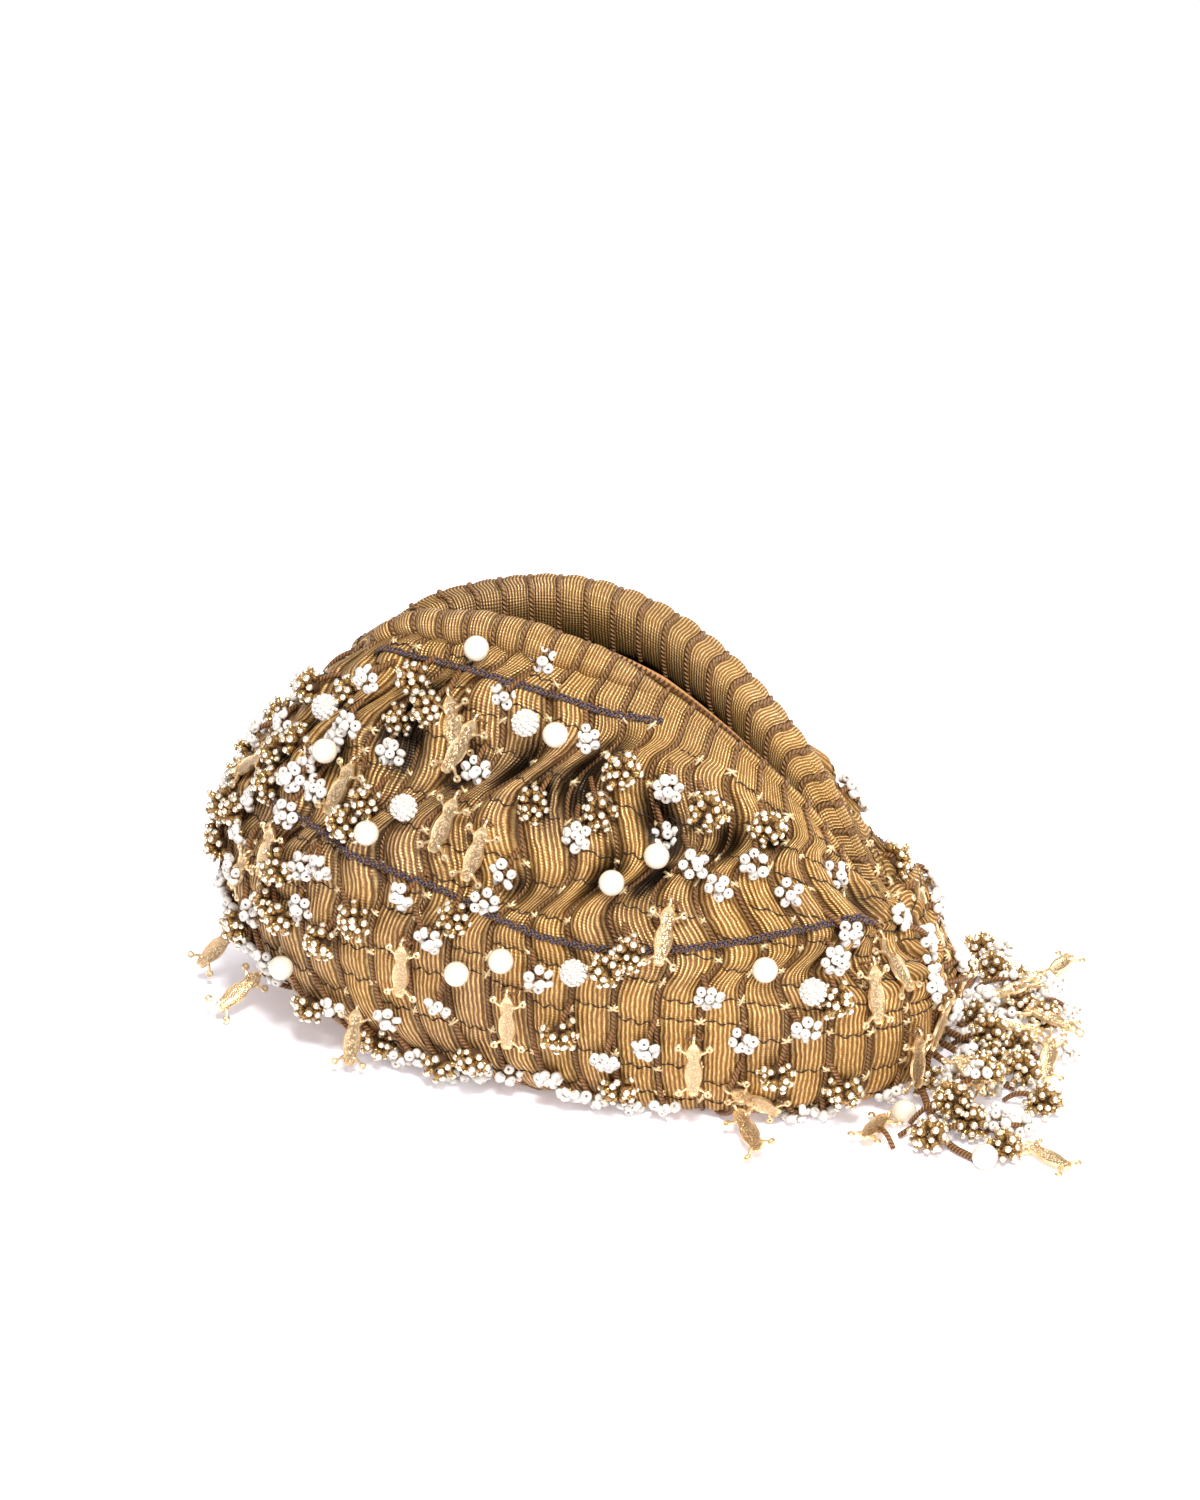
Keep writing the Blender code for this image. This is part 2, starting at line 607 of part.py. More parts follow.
def charm_outline():
    """The plate's edge, from the ring down one side and up the other, as (across, along)."""
    length, neck, waist, reach = CHARM_LENGTH, CHARM_NECK, CHARM_WAIST, CHARM_REACH
    side = (
        (neck, RING_RADIUS),
        (neck, 0.14 * length),
        (reach, 0.15 * length),
        (reach, 0.22 * length),
        (waist, 0.27 * length),
        (waist, 0.72 * length),
        (reach, 0.80 * length),
        (reach * 0.9, 0.88 * length),
        (neck, length),
    )
    return list(side) + [(-x, y) for x, y in reversed(side)]


def charm_mesh(material):
    """A brass charm about its ring's centre: across on X, down the plate on Y, its face up +Z."""
    outline = charm_outline()
    half = CHARM_THICKNESS / 2
    layers = [[Vector((x, y, z)) for x, y in outline] for z in (-half, half)]
    plate = mesh_object("charm_plate", *tube(layers))
    section = 2 * math.pi / RING_WIRE_SIDES
    frames = []
    for k in range(RING_SIDES):
        angle = 2 * math.pi * (k + 0.5) / RING_SIDES
        reach = [RING_RADIUS + RING_WIRE * math.cos(section * i) for i in range(RING_WIRE_SIDES)]
        side = [RING_WIRE * math.sin(section * i) for i in range(RING_WIRE_SIDES)]
        frames += [(s, r * math.cos(angle), r * math.sin(angle)) for r, s in zip(reach, side)]
    faces = []
    for k in range(RING_SIDES):
        faces += band_faces(k * RING_WIRE_SIDES, (k + 1) % RING_SIDES * RING_WIRE_SIDES, RING_WIRE_SIDES)
    ring = mesh_object("charm_ring", frames, faces)
    join_all(plate, [ring])
    bpy.context.view_layer.update()
    evaluated = plate.evaluated_get(bpy.context.evaluated_depsgraph_get())
    mesh = bpy.data.meshes.new_from_object(evaluated)
    mesh.materials.clear()
    mesh.materials.append(material)
    for obj in (plate, ring):
        bpy.data.objects.remove(obj, do_unlink=True)
    return mesh


def join_all(carrier, pieces):
    """Fuses the pieces into the carrier with one Boolean union."""
    parts = bpy.data.collections.new(carrier.name + "_joined")
    bpy.context.scene.collection.children.link(parts)
    for piece in pieces:
        for collection in list(piece.users_collection):
            collection.objects.unlink(piece)
        parts.objects.link(piece)
        piece.hide_render = True
        piece.display_type = "WIRE"
    union = carrier.modifiers.new("joined", "BOOLEAN")
    union.operation = "UNION"
    union.operand_type = "COLLECTION"
    union.collection = parts
    union.solver = "EXACT"
    return union


def placed(vertices, point, normal, downhill):
    """Vertices turned from +Z up and -Y downhill to stand on the surface at a point."""
    across = downhill.cross(normal)
    turn = Matrix((across, -downhill, normal)).transposed()
    return [point + turn @ Vector(v) for v in vertices]


def fused_beads(seats):
    """The bead flowers and gold bunches that are one with the shell."""
    pieces = []
    for k, (cord, rise) in enumerate(FLOWERS, 1):
        point, downhill, normal = seats.frame(cord, rise)
        vertices, faces = flower_shape(FLOWER_RADIUS, FLOWER_HEIGHT + LOOP_SINK)
        foot = seats.drop(point, normal) - normal * LOOP_SINK
        pieces.append(mesh_object(f"bead_flower_{k}", placed(vertices, foot, normal, downhill), faces))
    for k, (cord, rise) in enumerate(BUNCHES, 1):
        point, downhill, normal = seats.frame(cord, rise)
        vertices, faces = bunch_shape(BUNCH_RADIUS)
        middle = seats.drop(point, normal) + normal * BUNCH_LIFT
        pieces.append(mesh_object(f"gold_bunch_{k}", placed(vertices, middle, normal, downhill), faces))
    return pieces


def charm_hub(seats, cord, rise):
    """A charm's ring centre, and the unit vectors across, downhill and outward there."""
    point, downhill, normal = seats.frame(cord, rise)
    return point + normal * (RIB_CROWN + HUB_HEIGHT), downhill.cross(normal), downhill, normal


def thread_loops(seats):
    """A loop of thread for each charm's ring, with both legs sewn into the ribbon."""
    pieces = []
    for k, (cord, rise) in enumerate(CHARMS, 1):
        hub, across, _, normal = charm_hub(seats, cord, rise)
        points = []
        for side in (-1, 1):
            top = hub + across * (side * LOOP_HALF_WIDTH)
            foot = seats.drop(top, normal) - normal * LOOP_SINK
            points.append((foot, top))
        path = [points[0][0], points[0][1], points[1][1], points[1][0]]
        pieces.append(mesh_object(f"thread_loop_{k}", *round_bar(path, LOOP_WIRE, LOOP_SIDES)))
    return pieces


def charm_samples():
    """Points over the underside of a charm's plate and its lugs."""
    half = CHARM_THICKNESS / 2
    plate = [
        Vector((x * CHARM_WAIST, y * CHARM_LENGTH, -half))
        for y in np.linspace(0.16, 1.0, 13) for x in (-1, -0.5, 0, 0.5, 1)
    ]
    return plate + [Vector((x, y, -half)) for x, y in charm_outline()]


def build_charms(seats, material):
    """Brass charms that hang from their thread loops, against the ribs or clear below the belly."""
    mesh = charm_mesh(material)
    samples = charm_samples()
    charms = []
    for k, (cord, rise) in enumerate(CHARMS, 1):
        hub, across, downhill, normal = charm_hub(seats, cord, rise)
        plumb = math.degrees(math.atan2(-normal.z, -downhill.z))
        for degrees in range(CHARM_LIFTED, round(plumb), -1):
            angle = math.radians(degrees)
            along = downhill * math.cos(angle) + normal * math.sin(angle)
            turn = Matrix((across, along, across.cross(along))).transposed()
            if min(seats.clearance(hub + turn @ p) for p in samples) < CHARM_CLEARANCE:
                break
            seated = turn
        charm = add_object(f"brass_charm_{k}", mesh)
        charm.matrix_world = Matrix.Translation(hub) @ seated.to_4x4()
        charms.append(charm)
    return charms


def smooth_route(stops):
    """Evenly spaced points on a Catmull-Rom curve through a route's own points."""
    stops = np.array(stops)
    ends = np.concatenate([[2 * stops[0] - stops[1]], stops, [2 * stops[-1] - stops[-2]]])
    t = np.linspace(0, 1, 24, endpoint=False)[:, None]
    pieces = []
    for a, b, c, d in zip(ends, ends[1:], ends[2:], ends[3:]):
        pieces.append(0.5 * (2 * b + (c - a) * t + (2 * a - 5 * b + 4 * c - d) * t**2
                             + (3 * b - a - 3 * c + d) * t**3))
    curve = np.concatenate(pieces + [stops[-1:]])
    run = running_length(curve)
    count = max(2, round(run[-1] / CORD_POINT_SPACING)) + 1
    even = np.linspace(0, run[-1], count)
    return np.stack([np.interp(even, run, curve[:, axis]) for axis in range(3)], -1)


def build_cord(name, stops, material):
    curve = bpy.data.curves.new(name, "CURVE")
    curve.dimensions = "3D"
    curve.bevel_depth = TASSEL_CORD / 2
    curve.bevel_resolution = 2
    curve.use_fill_caps = True
    spline = curve.splines.new("POLY")
    points = smooth_route(stops)
    spline.points.add(len(points) - 1)
    for target, point in zip(spline.points, points):
        target.co = (*point, 1)
    curve.materials.append(material)
    bpy.context.scene.collection.objects.link(bpy.data.objects.new(name, curve))
    return points


def end_gap(obj, tip, heading):
    """How far beyond the cord's end the piece begins, over the whole of the end's face."""
    bpy.context.view_layer.update()
    vertices = [obj.matrix_world @ v.co for v in obj.data.vertices]
    tree = BVHTree.FromPolygons(vertices, [tuple(p.vertices) for p in obj.data.polygons])
    up = Vector((0, 0, 1))
    side = up.cross(heading)
    starts = [tip]
    for share in (0.35, 0.7, 1.0):
        for angle in (math.pi / 6 * i for i in range(12)):
            starts.append(tip + (side * math.cos(angle) + up * math.sin(angle)) * (share * TASSEL_CORD / 2))
    hits = [tree.ray_cast(start, heading) for start in starts]
    return min(hit[3] for hit in hits if hit[0] is not None)


def side_way(obj, points, heading):
    """How far the piece can come back against its heading before it meets the cord along the points."""
    bpy.context.view_layer.update()
    vertices = [obj.matrix_world @ v.co for v in obj.data.vertices]
    tree = BVHTree.FromPolygons(vertices, [tuple(p.vertices) for p in obj.data.polygons])
    surface = []
    for point in points:
        for angle in np.linspace(-math.pi / 2, math.pi / 2, 13):
            reach = heading * math.cos(angle) + Vector((0, 0, math.sin(angle)))
            surface.append(Vector(point) + reach * (TASSEL_CORD / 2))
    way = 0.0
    for _ in range(40):
        gap = min(tree.find_nearest(point + heading * way)[3] for point in surface)
        if gap - END_STANDOFF < GAP / 100:
            break
        way += gap - END_STANDOFF
    return way


def lay_piece(name, kind, meshes, materials, beyond, heading):
    """Lays a pearl, plate, flower or bunch on the table, a plate with its ring towards the cord."""
    if kind == "pearl":
        obj = add_object(name, meshes[kind])
        obj.location = (beyond.x, beyond.y, PEARL_RADIUS)
    elif kind == "brass":
        obj = add_object(name, meshes[kind])
        up = Vector((0, 0, 1))
        turn = Matrix((heading.cross(up), heading, up)).transposed()
        beyond = Vector((beyond.x, beyond.y, RING_RADIUS + RING_WIRE))
        obj.matrix_world = Matrix.Translation(beyond) @ turn.to_4x4()
    else:
        flower = kind == "flower"
        vertices, faces = flower_shape(FLOWER_RADIUS, FLOWER_HEIGHT) if flower else bunch_shape(BUNCH_RADIUS)
        obj = mesh_object(name, vertices, faces, materials["seed_bead" if flower else "gold_bead"])
        obj.location = (beyond.x, beyond.y, -min(v[2] for v in vertices))
    return obj


def build_tassel(materials):
    """Cords lying on the table from the right end, and what is sewn on their ends and beside them."""
    meshes = {"pearl": ball_mesh("tassel_pearl", PEARL_RADIUS, materials["pearl"]),
              "brass": charm_mesh(materials["brass"])}
    lines = []
    for k, (route, end) in enumerate(zip(TASSEL_ROUTES, TASSEL_ENDS), 1):
        points = build_cord(f"tassel_cord_{k}", route, materials["cord"])
        lines.append(points)
        tip = Vector(points[-1])
        heading = tip - Vector(points[-2])
        heading = Vector((heading.x, heading.y, 0)).normalized()
        obj = lay_piece(f"tassel_{end}_{k}", end, meshes, materials, tip + heading * CHARM_LENGTH, heading)
        obj.location -= heading * (end_gap(obj, tip, heading) - END_STANDOFF)
    for k, (cord, share, side, kind) in enumerate(TASSEL_SEWN, len(TASSEL_ROUTES) + 1):
        points = lines[cord - 1]
        i = round(share * (len(points) - 1))
        along = Vector(points[min(i + 1, len(points) - 1)] - points[i - 1])
        heading = Vector((-along.y, along.x, 0)).normalized() * side
        obj = lay_piece(f"tassel_{kind}_{k}", kind, meshes, materials, Vector(points[i]) + heading * CHARM_LENGTH, heading)
        near = [a + (b - a) * t for a, b in zip(points[:-1], points[1:]) for t in np.linspace(0, 1, 7)]
        obj.location -= heading * side_way(obj, near, heading)


def build_balls(seats, prefix, places, radius, material):
    mesh = ball_mesh(prefix, radius, material)
    for k, (cord, rise) in enumerate(places, 1):
        ball = add_object(f"{prefix}_{k}", mesh)
        ball.location = seats.rest_ball(cord, rise, radius + GAP / 3)
        seats.add(ball)


def make_materials():
    return {
        "ribbon": make_material("ribbon", (0.38, 0.20, 0.05), 0.42, 0.7),
        "lining": make_material("lining", (0.12, 0.06, 0.03), 0.9, 0.0),
        "binding": make_material("binding", (0.36, 0.21, 0.09), 0.7, 0.0),
        "braid": make_material("braid", (0.10, 0.08, 0.09), 0.4, 0.6),
        "brass": make_material("brass", (0.62, 0.40, 0.16), 0.3, 1.0),
        "pearl": make_material("pearl", (0.88, 0.82, 0.70), 0.2, 0.0),
        "seed_bead": make_material("seed_bead", (0.85, 0.82, 0.76), 0.25, 0.0),
        "gold_bead": make_material("gold_bead", (0.50, 0.28, 0.06), 0.3, 0.9),
        "cord": make_material("cord", (0.22, 0.11, 0.04), 0.6, 0.2),
    }


def main():
    clear_scene()
    materials = make_materials()
    shell = build_shell(materials["ribbon"])
    build_lining(materials["lining"])
    build_binding(materials["binding"])
    for name, stops in BRAIDS.items():
        build_braid(name, stops, materials["braid"])
    bare = Seats()
    bare.add(shell)
    join_all(shell, fused_beads(bare) + thread_loops(bare))
    seats = Seats()
    seats.add(shell)
    for name in BRAIDS:
        seats.add(bpy.data.objects[name])
    charms = build_charms(seats, materials["brass"])
    for charm in charms:
        seats.add(charm)
    build_balls(seats, "pearl", PEARLS, PEARL_RADIUS, materials["pearl"])
    build_balls(seats, "beaded_ball", BALLS, BALL_RADIUS, materials["seed_bead"])
    build_tassel(materials)


main()
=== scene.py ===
"""Dresses the gathered ribbon pouch with woven ribbons, seam cords, couched braids, beads and brass charms.

A place on the pouch is (cord, rise), as in its solids: cord counts the seam cords from the right end
along the front to the left end and back along the rear, and rise runs from the base's edge to the lip.
"""
from __future__ import annotations

import json
import logging
import math
import random
from dataclasses import dataclass, field
from enum import Enum
from functools import cache
from typing import Sequence

import bmesh
import bpy
import numpy as np
from mathutils import Matrix, Quaternion, Vector
from mathutils.bvhtree import BVHTree


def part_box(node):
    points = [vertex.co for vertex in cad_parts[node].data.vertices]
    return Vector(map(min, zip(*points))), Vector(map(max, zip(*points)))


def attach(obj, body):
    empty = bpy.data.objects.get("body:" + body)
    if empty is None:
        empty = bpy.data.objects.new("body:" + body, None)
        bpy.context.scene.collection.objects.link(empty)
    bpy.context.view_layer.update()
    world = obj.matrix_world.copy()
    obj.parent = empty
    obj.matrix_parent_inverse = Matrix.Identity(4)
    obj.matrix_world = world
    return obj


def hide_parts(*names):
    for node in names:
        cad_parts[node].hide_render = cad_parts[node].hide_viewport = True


LOG = logging.getLogger("pouch")
MM = 0.001
CHARM_LENGTH = 0.0205
# radius that is kept free of other beads, along a charm
CHARM_ROOM = 0.0042
# shares of a charm's length where its room is taken, and where it needs room
CHARM_STOPS, CHARM_TESTS = (0.1, 0.45, 0.85), (0.15, 0.5, 0.85)
# highest rise that knots, stitches and cord tails reach
TOP_RISE = 0.93
Place = tuple[float, float]
Input = float | tuple[float, ...] | bpy.types.NodeSocket


def linear(colour: str) -> tuple[float, float, float, float]:
    """Turn an sRGB hex colour into linear red, green, blue and alpha.

    Args:
        colour: The colour as "#RRGGBB".

    Returns:
        The linear colour with an alpha of 1.
    """
    parts = [int(colour[i:i + 2], 16) / 255 for i in (1, 3, 5)]
    red, green, blue = [c / 12.92 if c <= 0.04045 else ((c + 0.055) / 1.055) ** 2.4 for c in parts]
    return red, green, blue, 1.0


def add_node(tree: bpy.types.NodeTree, kind: str, links: dict | None = None, **settings) -> bpy.types.Node:
    """Add a node, set it up and feed its inputs.

    Args:
        tree: The node tree to add to.
        kind: The node's Blender type name.
        links: Input name or index to a value, or to the socket that feeds it.
        **settings: Properties of the node itself.

    Returns:
        The new node.
    """
    node = tree.nodes.new(kind)
    for name, value in settings.items():
        setattr(node, name, value)
    for key, value in (links or {}).items():
        if isinstance(value, bpy.types.NodeSocket):
            tree.links.new(value, node.inputs[key])
        else:
            node.inputs[key].default_value = value
    return node


def unit(vectors: np.ndarray) -> np.ndarray:
    """Scale each vector to length 1."""
    return vectors / np.linalg.norm(vectors, axis=-1, keepdims=True)


def running_length(points: np.ndarray) -> np.ndarray:
    """Give the distance along a line of points at each of them."""
    return np.concatenate([[0.0], np.cumsum(np.linalg.norm(np.diff(points, axis=0), axis=1))])


def smooth_step(start: float, end: float, value: np.ndarray) -> np.ndarray:
    """Rise smoothly from 0 at the start to 1 at the end."""
    t = np.clip((value - start) / (end - start), 0, 1)
    return t * t * (3 - 2 * t)


def smooth_curve(knots: np.ndarray, values: np.ndarray, at: np.ndarray) -> np.ndarray:
    """Read a cubic through the values, with each slope taken from the knots beside it.

    Args:
        knots: Rising positions of the values.
        values: The curve's value at each knot.
        at: Where to read it.

    Returns:
        The curve's values there.
    """
    slopes = np.gradient(values, knots)
    i = np.clip(np.searchsorted(knots, at) - 1, 0, len(knots) - 2)
    width = knots[i + 1] - knots[i]
    t = (at - knots[i]) / width
    return (
        (2 * t**3 - 3 * t**2 + 1) * values[i]
        + (t**3 - 2 * t**2 + t) * width * slopes[i]
        + (3 * t**2 - 2 * t**3) * values[i + 1]
        + (t**3 - t**2) * width * slopes[i + 1]
    )


def rib_profile(cord: np.ndarray, power: float = 3) -> np.ndarray:
    """Give 0 at the seams and 1 in the middle of each ribbon."""
    return 1 - np.abs(2 * np.mod(cord, 1) - 1) ** power


def evenly(line: np.ndarray, count: int) -> np.ndarray:
    """Read this many evenly spaced points along a line."""
    run = running_length(line)
    even = np.linspace(0, run[-1], count)
    return np.stack([np.interp(even, run, line[:, axis]) for axis in range(3)], -1)


def bow(start: Sequence[float], bend: Sequence[float], end: Sequence[float], count: int) -> np.ndarray:
    """Give this many points of a line from a start to an end that is drawn towards a bend."""
    t = np.linspace(0, 1, count)[:, None]
    return (1 - t) ** 2 * np.array(start) + 2 * t * (1 - t) * np.array(bend) + t**2 * np.array(end)


class Wiring:
    """Adds the nodes that the finishes share, and gives each one's output."""

    def __init__(self, tree: bpy.types.NodeTree) -> None:
        """Work on this material's tree."""
        self.tree = tree
        self.shader = tree.nodes["Principled BSDF"]

    def place(self) -> bpy.types.NodeSocket:
        """Give the Object coordinates."""
        return add_node(self.tree, "ShaderNodeTexCoord").outputs["Object"]

    def mark(self, name: str, output: str = "Fac") -> bpy.types.NodeSocket:
        """Give a mesh attribute."""
        return add_node(self.tree, "ShaderNodeAttribute", attribute_name=name).outputs[output]

    def split(self, vector: Input) -> Sequence[bpy.types.NodeSocket]:
        """Give a vector's three parts."""
        return add_node(self.tree, "ShaderNodeSeparateXYZ", {0: vector}).outputs

    def math(self, operation: str, *values: Input) -> bpy.types.NodeSocket:
        """Work out one step of arithmetic."""
        return add_node(self.tree, "ShaderNodeMath", dict(enumerate(values)), operation=operation).outputs[0]

    def remap(self, *stops: Input) -> bpy.types.NodeSocket:
        """Map a value from a low and a high to a new low and high, which are 0 and 1 if left out."""
        return add_node(self.tree, "ShaderNodeMapRange", dict(enumerate(stops))).outputs[0]

    def noise(self, vector: Input, scale: float, detail: float = 2.0) -> bpy.types.NodeSocket:
        """Give a cloudy noise."""
        links = {"Vector": vector, "Scale": scale, "Detail": detail}
        return add_node(self.tree, "ShaderNodeTexNoise", links).outputs[0]

    def mix(self, share: Input, first: Input, second: Input, blend: str = "MIX") -> bpy.types.NodeSocket:
        """Blend a second colour into the first."""
        links = {0: share, 6: first, 7: second}
        return add_node(self.tree, "ShaderNodeMix", links, data_type="RGBA", blend_type=blend).outputs[2]

    def feed(self, colour: Input | None, height: Input | None = None, strength: float = 0.0, distance: float = 0.0,
             invert: bool = False) -> None:
        """Feed the shader.

        Args:
            colour: What gives the base colour, if not plain.
            height: What gives the relief, if there is any.
            strength: The relief's strength.
            distance: The relief's depth in metres.
            invert: Whether it sinks instead of rising.
        """
        if colour is not None:
            self.tree.links.new(colour, self.shader.inputs["Base Color"])
        if height is not None:
            links = {"Height": height, "Strength": strength, "Distance": distance}
            bump = add_node(self.tree, "ShaderNodeBump", links, invert=invert)
            self.tree.links.new(bump.outputs[0], self.shader.inputs["Normal"])


@dataclass(frozen=True)
class Finish:
    """A material's name and its shader's plain values, with a faint grain for a small smooth piece."""

    name: str
    colour: str
    roughness: float
    metallic: float = 0.0
    coat: float = 0.0
    sheen: float = 0.0
    subsurface: float = 0.0

    def build(self) -> bpy.types.Material:
        """Make the material.

        Returns:
            The material.
        """
        material = bpy.data.materials.new(self.name)
        material.use_nodes = True
        wire = Wiring(material.node_tree)
        values = {
            "Base Color": linear(self.colour), "Roughness": self.roughness, "Metallic": self.metallic,
            "Coat Weight": self.coat, "Coat Roughness": 0.12, "Sheen Weight": self.sheen,
            "Subsurface Weight": self.subsurface, "Subsurface Radius": (0.002, 0.0015, 0.001),
        }
        for name, value in values.items():
            wire.shader.inputs[name].default_value = value
        self.wire(wire)
        return material

    def wire(self, wire: Wiring) -> None:
        """Wire up what varies over the surface."""
        wire.feed(None, wire.noise(wire.place(), 900.0), 0.08, 0.0001)


@dataclass(frozen=True)
class WovenRibbon(Finish):
    """Metallic woven ribbon: bright lengthwise threads over brown, with the tone wandering from patch to patch and
    leaning rosy towards the left end as painted shade.
    """

    brown: str = "#5C3C1E"
    bright: str = "#EFCB88"
    rosy: str = "#946C4A"
    # dark colour that darkens the seams and is the painted shade of the folds, creases and the mouth's inside
    seam_dark_and_painted_shade: str = "#211307"
    threads: float = 9.0
    cross_pitch: float = 0.9

    def wire(self, wire: Wiring) -> None:
        """Lay the threads along the ribbon's own UV map, darker towards the seams, with painted shade in the hollows.
        """
        uv = add_node(wire.tree, "ShaderNodeUVMap", uv_map="ribbon")
        parts, place = wire.split(uv.outputs[0]), wire.place()
        across = wire.math("ADD", parts[0], wire.math("MULTIPLY", wire.noise(place, 160.0), 0.10))
        turns = wire.math("MULTIPLY", across, self.threads * 2 * math.pi)
        wave = wire.math("SINE", turns)
        threads = wire.remap(wave, -1.0, 1.0)
        rows = wire.math("SINE", wire.math("MULTIPLY", parts[1], 2 * math.pi / self.cross_pitch))
        stretch = add_node(wire.tree, "ShaderNodeCombineXYZ", {0: turns, 1: parts[1]})
        streaks = wire.noise(stretch.outputs[0], 0.45, 3.0)
        # painted shade: the tone leans rosy towards the left end, where the ribbons face away from the light; the noise
        # gives patches of their own tone
        tone = wire.math("MULTIPLY_ADD", wire.split(place)[0], 1.3, wire.noise(place, 26.0, 3.0))
        ground = wire.mix(wire.remap(tone, 0.36, 0.62), linear(self.rosy), linear(self.colour))
        glint = wire.remap(wire.math("MULTIPLY", threads, streaks), 0.22, 0.62)
        gold = wire.mix(glint, ground, linear(self.bright))
        lined = wire.mix(wire.remap(threads, 0.0, 0.34, 0.62, 0.0), gold, linear(self.brown))
        # darker towards the seams, plus painted shade where the hollow attribute marks folds, creases and the mouth's
        # inside
        side = wire.math("ABSOLUTE", wire.math("SUBTRACT", wire.math("FRACT", parts[0]), 0.5))
        depth = wire.math("MAXIMUM", wire.remap(side, 0.30, 0.5, 0.0, 0.9), wire.mark("hollow"))
        rough = wire.remap(streaks, 0.3, 0.7, self.roughness + 0.12, self.roughness - 0.08)
        wire.tree.links.new(rough, wire.shader.inputs["Roughness"])
        wire.feed(wire.mix(depth, lined, linear(self.seam_dark_and_painted_shade)), wire.math("MULTIPLY_ADD", rows, 0.35, wave), 0.75, 0.00022)


@dataclass(frozen=True)
class TwistedCord(Finish):
    """Two-ply cord: light turns with painted shade in the grooves that wind between them."""

    groove_shade: str = "#2A1807"
    pitch: float = 2.6
    plies: float = 2.0

    def wire(self, wire: Wiring) -> None:
        """Wind the turns by the attributes that run along and around the cord."""
        parts = wire.split(wire.mark("around", "Vector"))
        plies = wire.math("MULTIPLY", wire.math("ARCTAN2", parts[1], parts[0]), self.plies)
        wave = wire.math("SINE", wire.math("MULTIPLY_ADD", wire.mark("along"), 2 * math.pi / self.pitch, plies))
        # the groove colour is painted shade, laid where the relief sinks between the plies
        share = wire.remap(wave, -1.0, 0.1, 1.0, 0.0)
        wire.feed(wire.mix(share, linear(self.colour), linear(self.groove_shade)), wave, 0.8, 0.0003)


@dataclass(frozen=True)
class StippledBrass(Finish):
    """Cast brass whose plate is stippled: pale on the high spots and brown in the pits."""

    pit: str = "#7C5431"
    grain: float = 1500.0

    def wire(self, wire: Wiring) -> None:
        """Stipple the faces that are marked for it."""
        cells = add_node(wire.tree, "ShaderNodeTexVoronoi", {"Vector": wire.place(), "Scale": self.grain})
        pits = wire.math("MULTIPLY", wire.remap(cells.outputs[0], 0.15, 0.6), wire.mark("stipple"))
        colour = wire.mix(wire.math("MULTIPLY", pits, 0.6), linear(self.colour), linear(self.pit))
        wire.feed(colour, pits, 0.7, 0.0002, invert=True)


@dataclass(frozen=True)
class BeadGlass(Finish):
    """Glass or metal beads whose marked parts, such as holes and tips, take a second colour."""

    marked: str = "#5A3A1C"
    attribute: str = "hole"

    def wire(self, wire: Wiring) -> None:
        """Vary the colour from bead to bead, and use the second one where the mesh marks it."""
        tone = wire.remap(wire.noise(wire.place(), 420.0), 0.35, 0.65, 0.78, 1.0)
        varied = wire.mix(1.0, linear(self.colour), tone, "MULTIPLY")
        wire.feed(wire.mix(wire.mark(self.attribute), varied, linear(self.marked)))


@dataclass(frozen=True)
class PlainCloth(Finish):
    """Matt woven cloth with a visible thread."""

    thread: str = "#000000"
    pitch: float = 0.9

    def wire(self, wire: Wiring) -> None:
        """Lay the threads by Object coordinates."""
        place = wire.place()
        links = {"Vector": place, "Scale": 1 / (self.pitch * MM) / 3, "Distortion": 1.5}
        wave = add_node(wire.tree, "ShaderNodeTexWave", links).outputs[1]
        share = wire.math("MULTIPLY", wave, wire.noise(place, 90.0))
        wire.feed(wire.mix(share, linear(self.colour), linear(self.thread)), wave, 0.4, 0.0002)


RIBBON = WovenRibbon("woven_metallic_ribbon", "#A97838", roughness=0.38, metallic=0.60)
# each cord's groove colour is painted shade between its plies
SEAM_CORD = TwistedCord("twisted_seam_cord", "#936A40", roughness=0.5, metallic=0.3, groove_shade="#5A3B20", pitch=1.5)
BROWN_CORD = TwistedCord("gimped_brown_cord", "#96693E", roughness=0.5, metallic=0.25, groove_shade="#553417", pitch=1.2)
BRAID_THREAD = TwistedCord("dark_metallic_braid", "#6E5F66", roughness=0.42, metallic=0.4, groove_shade="#261B22", pitch=1.5)
DARK_THREAD = Finish("dark_brown_thread", "#2C1908", roughness=0.7)
GOLD_THREAD = Finish("gold_couching_thread", "#E0C596", roughness=0.35, metallic=0.45)
TAPE = PlainCloth("tan_satin_tape", "#A8743A", roughness=0.5, metallic=0.15, thread="#7B4F22", pitch=1.6)
LINING = PlainCloth("dark_lining_cloth", "#2E1B0D", roughness=0.85, thread="#170C05")
PEARL = Finish("cream_pearl", "#E6DBC6", roughness=0.18, coat=0.7, sheen=0.1, subsurface=0.1)
SEED = BeadGlass("white_seed_bead", "#EDE6DC", roughness=0.14, coat=0.6, marked="#8A6844", attribute="hole")
# the drops' pale marked tips stand partly for the beads' own pale tips and partly for a painted highlight
GOLD_DROP = BeadGlass("gold_drop_bead", "#B8945C", roughness=0.24, metallic=0.7, coat=0.3, marked="#FBEFD8",
                      attribute="tip")
BRASS = StippledBrass("pale_stippled_brass", "#F2D5A6", roughness=0.30, metallic=0.85)
CORE = Finish("dark_thread_core", "#4A2F14", roughness=0.8)
FLOOR = Finish("white_paper_floor", "#FBF9FD", roughness=0.9)


class Materials:
    """Builds each finish once and hands it out."""

    def __init__(self) -> None:
        """Start with nothing built."""
        self.built: dict[str, bpy.types.Material] = {}

    def of(self, finish: Finish) -> bpy.types.Material:
        """Give the finish's material, built on its first use."""
        if finish.name not in self.built:
            self.built[finish.name] = finish.build()
        return self.built[finish.name]


MATERIALS = Materials()


